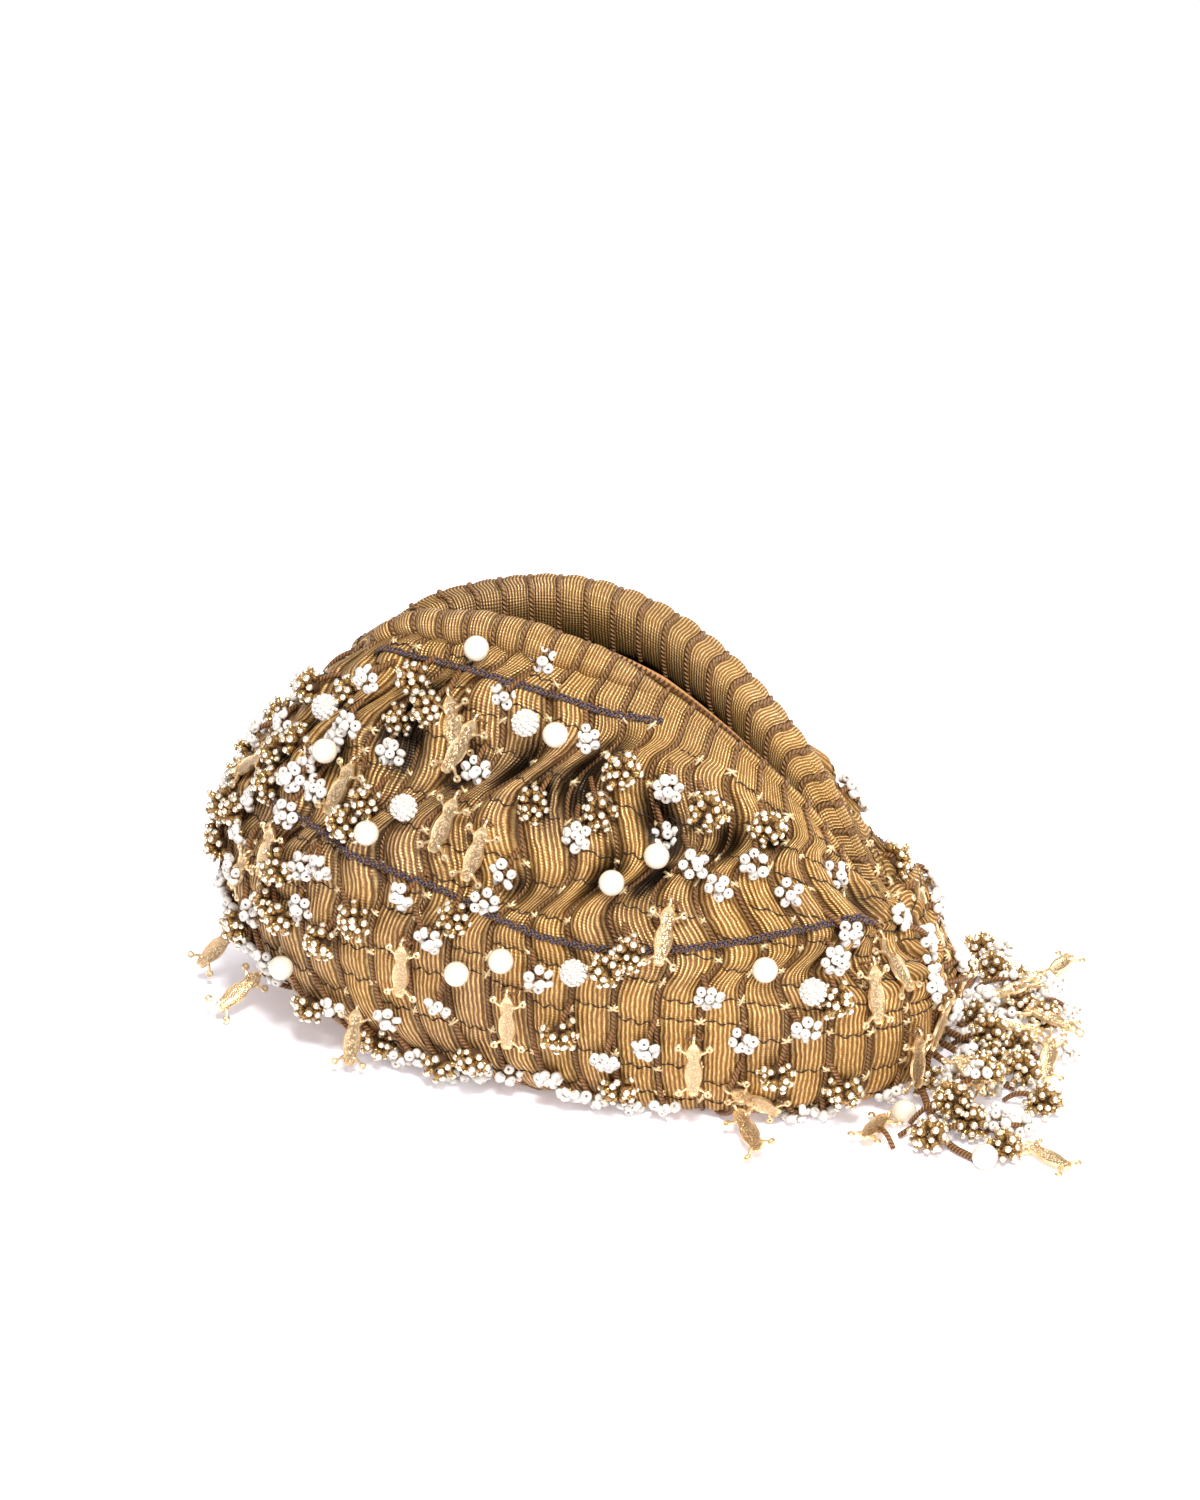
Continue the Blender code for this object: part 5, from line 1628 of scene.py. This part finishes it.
    def drop_shape(self) -> bpy.types.Mesh:
        """Make one gold drop bead along Z, with its tip marked for a pale colour that is partly the bead's own and
        partly a painted highlight.
        """
        length = self.drop_length
        profile = [(0, 0), (0.15, 0.02), (0.19, 0.20), (0.27, 0.36), (0.27, 0.60), (0.19, 0.68), (0.25, 0.76),
                   (0.25, 0.88), (0.15, 0.98), (0, 1.0)]
        return turned_mesh("drop_shape", [(r * length, h * length) for r, h in profile], 7, mark="tip", marked_from=7)

    def finish(self) -> None:
        """Make the gathered copies into pieces."""
        core = ball_shape("core_shape", self.bunch_core, 5)
        heart = ball_shape("heart_shape", 0.0012, 4)
        sew_on(WORKSHOP.copies("flower_seed_beads", self.seeds, self.seed_shape(), SEED))
        sew_on(WORKSHOP.copies("gold_drop_beads", self.drops, self.drop_shape(), GOLD_DROP))
        sew_on(WORKSHOP.copies("bunch_cores", self.cores, core, CORE))
        sew_on(WORKSHOP.copies("flower_hearts", self.hearts, heart, GOLD_DROP))
        sew_on(WORKSHOP.cords("bead_stems", self.stems, self.stem_radius, BROWN_CORD))


@dataclass(frozen=True)
class CharmSpot:
    """Where a brass charm hangs: its ring's centre, and the ways across, along and out of its plate."""

    hub: Vector
    across: Vector
    along: Vector

    @property
    def out(self) -> Vector:
        """Give the way the plate faces."""
        return self.across.cross(self.along)

    def matrix(self) -> Matrix:
        """Give the placing of a charm made about its ring, with its plate along +Y."""
        turn = Matrix((self.across, self.along, self.out)).transposed().to_4x4()
        return Matrix.Translation(self.hub) @ turn


@dataclass
class BrassCharm:
    """A cast plate with a stippled face, four curled lugs that end in rings, and a ring at its head."""

    length: float = CHARM_LENGTH
    thickness: float = 0.0014
    ring_radius: float = 0.0015
    ring_wire: float = 0.00045
    lug_wire: float = 0.00066
    eye_radius: float = 0.00082

    def half_width(self, share: float) -> float:
        """Give the plate's half width at a share of its length."""
        stops = np.array([0.07, 0.12, 0.18, 0.27, 0.34, 0.50, 0.66, 0.78, 0.86, 0.93, 0.97])
        widths = np.array([0.9, 1.7, 2.5, 2.6, 1.9, 2.9, 2.95, 2.2, 2.0, 1.9, 0.8]) * MM
        return float(np.interp(share, stops, widths))

    def mesh(self) -> bpy.types.Mesh:
        """Make the charm about its ring's centre: across on X, down the plate on Y, its face up +Z.

        Returns:
            The mesh.
        """
        work = bmesh.new()
        stipple = work.verts.layers.float.new("stipple")
        section = ((-1, 0.1, 0), (-0.9, 0.85, 0), (-0.72, 0.35, 0.7), (0, 0.45, 1), (0.72, 0.35, 0.7), (0.9, 0.85, 0),
                   (1, 0.1, 0), (0.7, -0.5, 0), (0, -0.6, 0), (-0.7, -0.5, 0))
        rows = []
        for share in np.linspace(0.07, 0.97, 25):
            half = self.half_width(share)
            row = []
            for x, z, mark in section:
                vertex = work.verts.new((x * half, share * self.length, z * self.thickness / 1.2))
                vertex[stipple] = mark if 0.16 < share < 0.9 else 0.0
                row.append(vertex)
            rows.append(row)
        bridge(work, rows)
        for side in (-1, 1):
            self.lug(work, side, 0.24, 0.0026, 0.0045, -0.0016)
            self.lug(work, side, 0.84, 0.0020, 0.0042, 0.0022)
        self.torus(work, Vector((0, 0, 0)), Vector((1, 0, 0)), self.ring_radius, self.ring_wire, 14, 6)
        return taken_from(work, "charm_plate", 60)

    def lug(self, work: bmesh.types.BMesh, side: int, share: float, start: float, reach: float, sweep: float) -> None:
        """Add a curled lug and its end ring.

        Args:
            work: The mesh being made.
            side: -1 or 1 across the plate.
            share: Where it leaves the plate, as a share of the length.
            start: Distance from the middle line where it begins.
            reach: Distance from the middle line of its ring.
            sweep: How far its ring lies down the plate from its root.
        """
        foot = share * self.length
        rows = []
        for t in np.linspace(0, 1, 6):
            x = start * 0.6 + (reach - start * 0.6) * t
            y = foot + sweep * t * t
            wire = self.lug_wire * (1.25 - 0.45 * t)
            row = []
            for i in range(6):
                a = 2 * math.pi * i / 6
                row.append(work.verts.new((side * x, y + wire * math.cos(a), wire * math.sin(a))))
            rows.append(row)
        bridge(work, rows)
        centre = Vector((side * (reach + 0.0003), foot + sweep, 0))
        self.torus(work, centre, Vector((0, 0, 1)), self.eye_radius, self.lug_wire * 0.75, 10, 5)

    def torus(self, work: bmesh.types.BMesh, centre: Vector, axis: Vector, radius: float, wire: float, sides: int,
              wire_sides: int) -> None:
        """Add a ring to the mesh being made."""
        first = axis.orthogonal().normalized()
        second = axis.cross(first)
        rows = []
        for i in range(sides):
            a = 2 * math.pi * i / sides
            way = first * math.cos(a) + second * math.sin(a)
            row = []
            for j in range(wire_sides):
                b = 2 * math.pi * j / wire_sides
                row.append(work.verts.new(centre + way * (radius + wire * math.cos(b)) + axis * (wire * math.sin(b))))
            rows.append(row)
        for i in range(sides):
            low, high = rows[i], rows[(i + 1) % sides]
            for j in range(wire_sides):
                after = (j + 1) % wire_sides
                work.faces.new((low[j], high[j], high[after], low[after]))

    def place(self, name: str, spot: Matrix, body: str, replaces: Sequence[str]) -> bpy.types.Object:
        """Put a charm in its place.

        Args:
            name: The piece's name.
            spot: Where it goes.
            body: The body it moves with.
            replaces: The solids it stands for.

        Returns:
            The charm.
        """
        mesh = self.mesh()
        mesh.transform(spot)
        return sew_on(new_object(name, mesh, BRASS), body, replaces)


def charm_spots() -> dict[str, CharmSpot]:
    """Read each swinging charm's place from its joint and its solid.

    Returns:
        Each charm's node name and place.
    """
    spots = {}
    for joint in FRAME["joints"]:
        node = "brass_" + joint["child"]
        hub, across = Vector(joint["pos_m"]), Vector(joint["axis"]).normalized()
        points = [v.co for v in FRAME["nodes"][node].data.vertices]
        way = sum(points, Vector()) / len(points) - hub
        along = (way - across * way.dot(across)).normalized()
        spots[node] = CharmSpot(hub, across, along)
    return spots


@dataclass
class CharmWork:
    """The swinging charms on their thread loops, and the plates sewn flat between them."""

    loop_wire: float = 0.0005
    loop_half_width: float = 0.0023
    # the place each dangling plate's cord is sewn to, and where its ring and its far end are
    dangling: tuple[tuple[Place, tuple[float, ...], tuple[float, ...]], ...] = (
        ((20.9, 0.16), (-0.1120, -0.0140, 0.0220), (-0.1260, -0.0200, 0.0060)),
        ((19.8, 0.10), (-0.0990, -0.0260, 0.0135), (-0.1080, -0.0380, 0.0065)),
        ((16.4, 0.10), (-0.0560, -0.0510, 0.0225), (-0.0570, -0.0570, 0.0070)),
        ((6.6, 0.06), (0.0690, -0.0520, 0.0080), (0.0790, -0.0650, 0.0048)),
    )
    sewn: tuple[tuple[float, float, float], ...] = (
        (18.7, 0.40, 20), (14.6, 0.30, -15), (20.2, 0.60, 35), (6.3, 0.20, -60), (21.3, 0.30, 40), (15.7, 0.83, -35),
        (0.7, 0.36, 15), (2.2, 0.66, -10), (42.6, 0.72, 30), (43.4, 0.30, -25), (25.6, 0.58, 5), (29.6, 0.44, -8),
        (35.2, 0.46, 12), (38.8, 0.68, -20), (31.0, 0.22, 10), (41.4, 0.31, -15),
    )

    def hang(self) -> None:
        """Hang the charms on their bodies and sew their thread loops to the wall."""
        lines = []
        for node, spot in CHARM_SPOTS.items():
            BrassCharm().place(node + "_plate", spot.matrix(), node.removeprefix("brass_"), [node])
            outward = Vector(FORM.slopes(*nearest_place(spot.hub))[1])
            points = []
            for side in (-1, 1):
                top = spot.hub + spot.across * (side * self.loop_half_width)
                foot = SKIN.hit(top + outward * 0.006, -outward, 0.02) or top
                points.append((foot - outward * 0.0006, top))
            (foot, top), (other_top, other_foot) = points[0], points[1][::-1]
            lines.append(np.array([foot, top - outward * 0.0006, top.lerp(other_top, 0.12), top.lerp(other_top, 0.5),
                                   top.lerp(other_top, 0.88), other_top - outward * 0.0006, other_foot]))
        sew_on(WORKSHOP.cords("charm_thread_loops", lines, self.loop_wire, BROWN_CORD))

    def dangle(self, beads: BeadWork) -> None:
        """Hang plates on long cords clear of the wall, where they touch the table."""
        for k, (place, head, foot) in enumerate(self.dangling, 1):
            hub, tip = Vector(head), Vector(foot)
            along = (tip - hub).normalized()
            across = along.cross(Vector((0.2, -0.9, 0.45))).normalized()
            BrassCharm().place(f"dangling_plate_{k}", CharmSpot(hub, across, along).matrix(), "bag", [])
            start, _, outward = SKIN.seat(*place)
            beads.stems.append(bow(start, (start + hub) / 2 + outward * 0.003, hub, 11))

    def sew(self, beads: BeadWork) -> None:
        """Sew more plates flat to the wall, each turned a little from straight down."""
        for k, (cord, rise, lean) in enumerate(self.sewn, 1):
            point, downhill, outward = SKIN.seat(cord, rise)
            across = downhill.cross(outward)
            angle = math.radians(lean)
            along = downhill * math.cos(angle) + across * math.sin(angle)
            tip, _, _ = SKIN.seat(*nearest_place(point + along * 0.017))
            hub = point + outward * 0.0024
            along = ((tip + outward * 0.0021) - hub).normalized()
            side = along.cross(outward).normalized()
            if not all(beads.free(hub + along * (CHARM_LENGTH * share), 0.0030) for share in CHARM_TESTS):
                LOG.info("no room for sewn plate %d", k)
                continue
            for share in CHARM_STOPS:
                beads.take(hub + along * (CHARM_LENGTH * share), CHARM_ROOM)
            spot = CharmSpot(hub, side, along)
            BrassCharm().place(f"sewn_plate_{k}", spot.matrix(), "bag", [])
            beads.stem(SKIN, (cord, rise), hub)


@cache
def place_grid() -> tuple[np.ndarray, np.ndarray, np.ndarray]:
    """Give cords, rises and points of places all over the mean surface, made on the first call."""
    grid = np.meshgrid(np.arange(0, FORM.ribs, 0.25), np.arange(0.0, 1.0, 0.02))
    cords, rises = (part.ravel() for part in grid)
    return cords, rises, FORM.point(cords, rises)


def nearest_place(point: Vector) -> tuple[np.ndarray, np.ndarray]:
    """Find the place on the mean surface nearest to a point.

    Args:
        point: A point near the wall.

    Returns:
        Its cord and rise.
    """
    cords, rises, surface = place_grid()
    best = np.argmin(((surface - np.array(point)) ** 2).sum(-1))
    return cords[best], rises[best]


class TasselEnd(Enum):
    """What a tassel cord ends in."""

    PEARL = "pearl"
    BRASS = "brass"
    FLOWER = "flower"
    BUNCH = "bunch"


@dataclass(frozen=True)
class TasselCord:
    """One tassel cord's route and what is on its end."""

    route: tuple[tuple[float, float, float], ...]
    end: TasselEnd


@dataclass
class Tassel:
    """Cords that lie on the table from the right end, and the heap of beads and plates among them."""

    diameter: float = 0.0024
    spacing: float = 0.0031
    tie_length: float = 0.013
    # how far a heap plate's ring lies from its middle, and its least height
    plate_reach: float = 0.0095
    plate_height: float = 0.0021
    # how far each kind of heap piece keeps others off, as a radius
    heap_rooms: dict[str, float] = field(default_factory=lambda: {
        "flower": 0.0045, "bunch": 0.0062, "pearl": 0.004, "plate": 0.0030})
    solids: list[tuple[Vector, float]] = field(default_factory=list)
    cords: tuple[TasselCord, ...] = (
        TasselCord(((0.1174, -0.0187, 0.0090), (0.1216, -0.0220, 0.0060), (0.1250, -0.0270, 0.0026),
                    (0.1290, -0.0350, 0.0015), (0.1360, -0.0440, 0.0015), (0.1440, -0.0485, 0.0015)), TasselEnd.PEARL),
        TasselCord(((0.1217, -0.0065, 0.0102), (0.1275, -0.0076, 0.0072), (0.1320, -0.0110, 0.0030),
                    (0.1360, -0.0180, 0.0015), (0.1430, -0.0280, 0.0015), (0.1540, -0.0350, 0.0015)), TasselEnd.BRASS),
        TasselCord(((0.1213, 0.0008, 0.0108), (0.1280, 0.0015, 0.0072), (0.1330, 0.0010, 0.0032),
                    (0.1390, -0.0020, 0.0015), (0.1480, -0.0050, 0.0015)), TasselEnd.FLOWER),
        TasselCord(((0.1212, 0.0092, 0.0102), (0.1269, 0.0110, 0.0069), (0.1315, 0.0130, 0.0028),
                    (0.1390, 0.0160, 0.0015), (0.1490, 0.0210, 0.0015)), TasselEnd.FLOWER),
        TasselCord(((0.1174, 0.0187, 0.0090), (0.1216, 0.0220, 0.0060), (0.1255, 0.0270, 0.0024),
                    (0.1320, 0.0360, 0.0015), (0.1400, 0.0480, 0.0015), (0.1440, 0.0600, 0.0015)), TasselEnd.BRASS),
        TasselCord(((0.1125, 0.0260, 0.0100), (0.1162, 0.0305, 0.0064), (0.1185, 0.0360, 0.0024),
                    (0.1200, 0.0460, 0.0015), (0.1215, 0.0560, 0.0015), (0.1220, 0.0660, 0.0015)), TasselEnd.BUNCH),
    )
    # the cord each sewn piece hangs on, and what it is
    sewn: tuple[tuple[int, TasselEnd], ...] = (
        (2, TasselEnd.BUNCH), (2, TasselEnd.FLOWER), (3, TasselEnd.FLOWER), (3, TasselEnd.BUNCH), (4, TasselEnd.BUNCH),
        (4, TasselEnd.FLOWER), (5, TasselEnd.BUNCH), (5, TasselEnd.FLOWER), (6, TasselEnd.BUNCH), (5, TasselEnd.FLOWER),
        (1, TasselEnd.BUNCH),
    )
    # x and y in metres of each loose-sewn piece of the heap, and what it is
    heap: tuple[tuple[float, float, str], ...] = (
        (0.1290, -0.0370, "flower"), (0.1185, -0.0330, "pearl"), (0.1120, -0.0420, "plate"),
        (0.1340, -0.0210, "flower"),
        (0.1400, -0.0360, "bunch"), (0.1520, -0.0440, "bunch"), (0.1560, -0.0280, "flower"), (0.1400, -0.0180, "bunch"),
        (0.1590, -0.0150, "bunch"), (0.1330, -0.0080, "bunch"), (0.1480, 0.0040, "flower"), (0.1310, 0.0110, "flower"),
        (0.1560, 0.0080, "plate"), (0.1610, 0.0180, "flower"), (0.1430, 0.0240, "flower"), (0.1280, 0.0290, "bunch"),
        (0.1390, 0.0290, "flower"), (0.1500, 0.0350, "bunch"), (0.1570, 0.0430, "flower"), (0.1250, 0.0400, "flower"),
        (0.1370, 0.0540, "bunch"), (0.1290, 0.0680, "flower"), (0.1480, 0.0600, "flower"), (0.1290, 0.0010, "flower"),
        (0.1420, -0.0080, "plate"), (0.1440, 0.0180, "plate"), (0.1370, -0.0240, "plate"), (0.1400, 0.0420, "plate"),
        (0.1480, -0.0330, "flower"), (0.1360, 0.0640, "pearl"), (0.1340, -0.0340, "bunch"), (0.1310, -0.0010, "flower"),
        (0.1360, 0.0100, "bunch"), (0.1310, 0.0340, "flower"), (0.1400, -0.0270, "flower"), (0.1500, -0.0030, "bunch"),
        (0.1370, 0.0480, "flower"), (0.1290, -0.0150, "flower"), (0.1280, 0.0190, "flower"), (0.1540, 0.0300, "plate"),
    )

    def smooth(self, route: Sequence[tuple[float, float, float]]) -> np.ndarray:
        """Read evenly spaced points on a Catmull-Rom curve through a route's points.

        Args:
            route: The route's own points.

        Returns:
            The curve's points.
        """
        stops = np.array(route)
        ends = np.concatenate([[2 * stops[0] - stops[1]], stops, [2 * stops[-1] - stops[-2]]])
        t = np.linspace(0, 1, 24, endpoint=False)[:, None]
        parts = [0.5 * (2 * b + (c - a) * t + (2 * a - 5 * b + 4 * c - d) * t**2 + (3 * b - a - 3 * c + d) * t**3)
                 for a, b, c, d in zip(ends, ends[1:], ends[2:], ends[3:])]
        curve = np.concatenate(parts + [stops[-1:]])
        return evenly(curve, max(2, round(running_length(curve)[-1] / self.spacing)) + 1)

    def end_piece(self, k: int, item: TasselCord, points: np.ndarray) -> bpy.types.Object:
        """Make what a cord ends in, where its solid lies.

        Args:
            k: The cord's number.
            item: The cord.
            points: Its line.

        Returns:
            The end's piece.
        """
        node = f"tassel_{item.end.value}_{k}"
        if item.end is TasselEnd.PEARL:
            ball = ball_shape(node, 0.004)
            ball.transform(Matrix.Translation(box_middle(node)))
            return sew_on(new_object(node + "_end", ball, PEARL), replaces=[node])
        if item.end is TasselEnd.BRASS:
            heading = Vector(points[-1] - points[-2])
            heading = Vector((heading.x, heading.y, 0)).normalized()
            across = heading.cross(Vector((0, 0, 1)))
            low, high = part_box(node)
            tip = Vector(points[-1])
            hub = Vector((tip.x, tip.y, 0)) + heading * 0.00235 + Vector((0, 0, (low.z + high.z) / 2))
            spot = CharmSpot(hub, across, heading)
            return BrassCharm().place(node + "_end", spot.matrix(), "bag", [node])
        return self.bead_piece(node, item.end)

    def bead_piece(self, node: str, kind: TasselEnd) -> bpy.types.Object:
        """Make the flower or bunch that lies where a solid is."""
        middle = box_middle(node)
        self.solids.append((middle, 0.0045 if kind is TasselEnd.FLOWER else 0.0058))
        beads = BeadWork(draw=random.Random(node))
        if kind is TasselEnd.FLOWER:
            beads.flower(middle, Vector((0.1, -0.15, 1)).normalized(), 6)
            piece = WORKSHOP.copies(node + "_beads", beads.seeds, beads.seed_shape(), SEED)
            return sew_on(piece, replaces=[node])
        beads.bunch(middle, Vector((0, -0.2, 1)).normalized(), 30, -0.8)
        piece = WORKSHOP.copies(node + "_beads", beads.drops, beads.drop_shape(), GOLD_DROP)
        return sew_on(piece, replaces=[node])

    def lay(self) -> None:
        for k, item in enumerate(self.cords, 1):
            points = self.smooth(item.route)
            node = f"tassel_cord_{k}"
            cord = WORKSHOP.cords(node + "_lay", [points], self.diameter / 2, BROWN_CORD, sides=10)
            sew_on(cord, replaces=[node])
            pieces = [self.end_piece(k, item, points)]
            for number, (on, kind) in enumerate(self.sewn, len(self.cords) + 1):
                if on == k:
                    pieces.append(self.bead_piece(f"tassel_{kind.value}_{number}", kind))

    def tie(self, centre: Vector, draw: random.Random) -> np.ndarray:
        """Give the line of a short cord that bows away from a piece of the heap towards the bag."""
        end = np.array(centre)
        turn = draw.uniform(2.3, 4.0)
        start = end + np.array((self.tie_length * math.cos(turn), self.tie_length * math.sin(turn), -0.004))
        start[0], start[2] = max(start[0], 0.119), max(start[2] * 0.4, 0.0012)
        bend = (start + end) / 2 + np.array((0.0, draw.uniform(-0.006, 0.006), draw.uniform(0.002, 0.008)))
        return bow(start, bend, end, 13)

    def pile(self, beads: BeadWork) -> None:
        """Drop the heap's pieces onto the table and on each other, every other one tied to the bag's end by a short
        cord.

        Args:
            beads: Where the heap's beads and stems are gathered.
        """
        heights = list(self.solids)
        pearls, plates = Copies(), 0
        for k, (x, y, kind) in enumerate(self.heap):
            radius = self.heap_rooms[kind]
            z = radius * (0.62 if kind != "pearl" else 1.0)
            for other, size in heights:
                level = math.hypot(other.x - x, other.y - y)
                reach = (radius + size) * 0.82
                if level < reach:
                    z = max(z, other.z + math.sqrt(reach**2 - level**2) * 0.75)
            centre = Vector((x, y, z))
            heights.append((centre, radius))
            lean = Vector((beads.draw.uniform(-0.5, 0.4), beads.draw.uniform(-0.8, 0.2), 1)).normalized()
            if k % 2 == 0:
                beads.stems.append(self.tie(centre, beads.draw))
            if kind == "flower":
                beads.flower(centre, lean, beads.draw.choice((5, 6, 7)))
            elif kind == "bunch":
                beads.bunch(centre, lean, 30, -0.75)
            elif kind == "pearl":
                pearls.add(centre, Quaternion())
            else:
                plates += 1
                turn = beads.draw.uniform(0, 6.28)
                along = Vector((math.cos(turn), math.sin(turn), beads.draw.uniform(-0.05, 0.35))).normalized()
                side = along.cross(Vector((0, 0, 1))).normalized()
                hub = centre - along * self.plate_reach
                hub.z = max(hub.z, self.plate_height)
                spot = CharmSpot(hub, side, along)
                BrassCharm().place(f"heap_plate_{plates}", spot.matrix(), "bag", [])
        sew_on(WORKSHOP.copies("heap_pearls", pearls, ball_shape("heap_pearl", 0.004), PEARL))


@dataclass(frozen=True)
class Studio:
    """The camera at the photograph's angle, a pale floor and soft lights."""

    azimuth: float = 17.0
    elevation: float = 27.0
    distance: float = 1.12
    lens: float = 85.0
    target: tuple[float, float, float] = (0.009, 0.0, 0.0985)
    floor_reach: float = 4.0
    floor_glow: float = 0.30
    surround: float = 0.48
    # each light's name, place, side and power in watts
    lights: tuple[tuple[str, tuple[float, float, float], float, float], ...] = (
        ("key", (0.25, -0.60, 1.15), 0.30, 18.5),
        ("fill", (0.95, -0.75, 0.65), 0.8, 5.0),
        ("rim", (0.45, 0.85, 0.9), 0.5, 10.0),
    )

    def camera(self) -> None:
        """Stand the camera where the photograph was taken from."""
        data = bpy.data.cameras.new("camera")
        data.lens, data.sensor_width = self.lens, 36.0
        data.clip_start, data.clip_end = 0.05, 20.0
        obj = bpy.data.objects.new("camera", data)
        bpy.context.scene.collection.objects.link(obj)
        a, e = math.radians(self.azimuth), math.radians(self.elevation)
        back = Vector((math.sin(a) * math.cos(e), -math.cos(a) * math.cos(e), math.sin(e)))
        obj.location = Vector(self.target) + back * self.distance
        obj.rotation_euler = (-back).to_track_quat("-Z", "Y").to_euler()
        bpy.context.scene.camera = obj

    def floor(self) -> None:
        """Lay a wide pale floor."""
        mesh = bpy.data.meshes.new("floor")
        corners = [(x * self.floor_reach, y * self.floor_reach, 0) for x, y in ((-1, -1), (1, -1), (1, 1), (-1, 1))]
        mesh.from_pydata(corners, [], [(0, 1, 2, 3)])
        floor = new_object("floor", mesh, FLOOR)
        shader = floor.data.materials[0].node_tree.nodes["Principled BSDF"]
        shader.inputs["Emission Color"].default_value = linear("#F2ECF4")
        shader.inputs["Emission Strength"].default_value = self.floor_glow

    def light(self, name: str, place: Sequence[float], size: float, power: float) -> None:
        """Hang a square soft light that faces the pouch.

        Args:
            name: The light's name.
            place: Where it hangs.
            size: Its side.
            power: Its power in watts.
        """
        data = bpy.data.lights.new(name, "AREA")
        data.shape, data.size, data.energy = "SQUARE", size, power
        obj = bpy.data.objects.new(name, data)
        bpy.context.scene.collection.objects.link(obj)
        obj.location = place
        way = Vector(self.target) - Vector(place)
        obj.rotation_euler = way.to_track_quat("-Z", "Y").to_euler()

    def build(self) -> None:
        """Set up the camera, floor, lights and the white surround."""
        self.camera()
        self.floor()
        for name, place, size, power in self.lights:
            self.light(name, place, size, power)
        world = bpy.data.worlds.new("surround")
        world.use_nodes = True
        background = world.node_tree.nodes["Background"]
        background.inputs["Color"].default_value = linear("#FBFAFF")
        background.inputs["Strength"].default_value = self.surround
        bpy.context.scene.world = world
        bpy.context.scene.view_settings.view_transform = "Standard"


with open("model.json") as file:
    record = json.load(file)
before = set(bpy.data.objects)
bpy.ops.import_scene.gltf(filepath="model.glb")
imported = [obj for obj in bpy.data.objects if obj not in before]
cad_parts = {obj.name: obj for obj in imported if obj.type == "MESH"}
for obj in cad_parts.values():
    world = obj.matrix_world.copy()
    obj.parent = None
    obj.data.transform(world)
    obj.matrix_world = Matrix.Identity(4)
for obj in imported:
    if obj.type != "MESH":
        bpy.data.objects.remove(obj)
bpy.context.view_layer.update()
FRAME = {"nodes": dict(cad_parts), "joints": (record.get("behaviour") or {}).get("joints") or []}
WORKSHOP = NodeWorkshop()
SKIN = Skin()
CHARM_SPOTS = charm_spots()


def main() -> None:
    """Build the studio and every piece in order."""
    logging.basicConfig(level=logging.INFO, format="%(message)s")
    Studio().build()
    FRAME["nodes"]["lining"].data.materials.clear()
    FRAME["nodes"]["lining"].data.materials.append(MATERIALS.of(LINING))
    body = RibbonBody()
    SKIN.add(body.build())
    seams = SeamWork(body=body)
    seams.cords(WORKSHOP)
    seams.knots(WORKSHOP, SKIN)
    seams.stitches(WORKSHOP)
    LipFacing(body).build()
    FrontRoll(body).build()
    Braids().build(WORKSHOP)
    binding = MouthBinding()
    binding.build()
    binding.whip(WORKSHOP)
    beads = BeadWork()
    beads.sew_pearls(SKIN)
    charms = CharmWork()
    charms.hang()
    charms.sew(beads)
    charms.dangle(beads)
    beads.sew_flowers(SKIN)
    tassel = Tassel()
    tassel.lay()
    tassel.pile(beads)
    beads.finish()


if __name__ == "__main__":
    main()
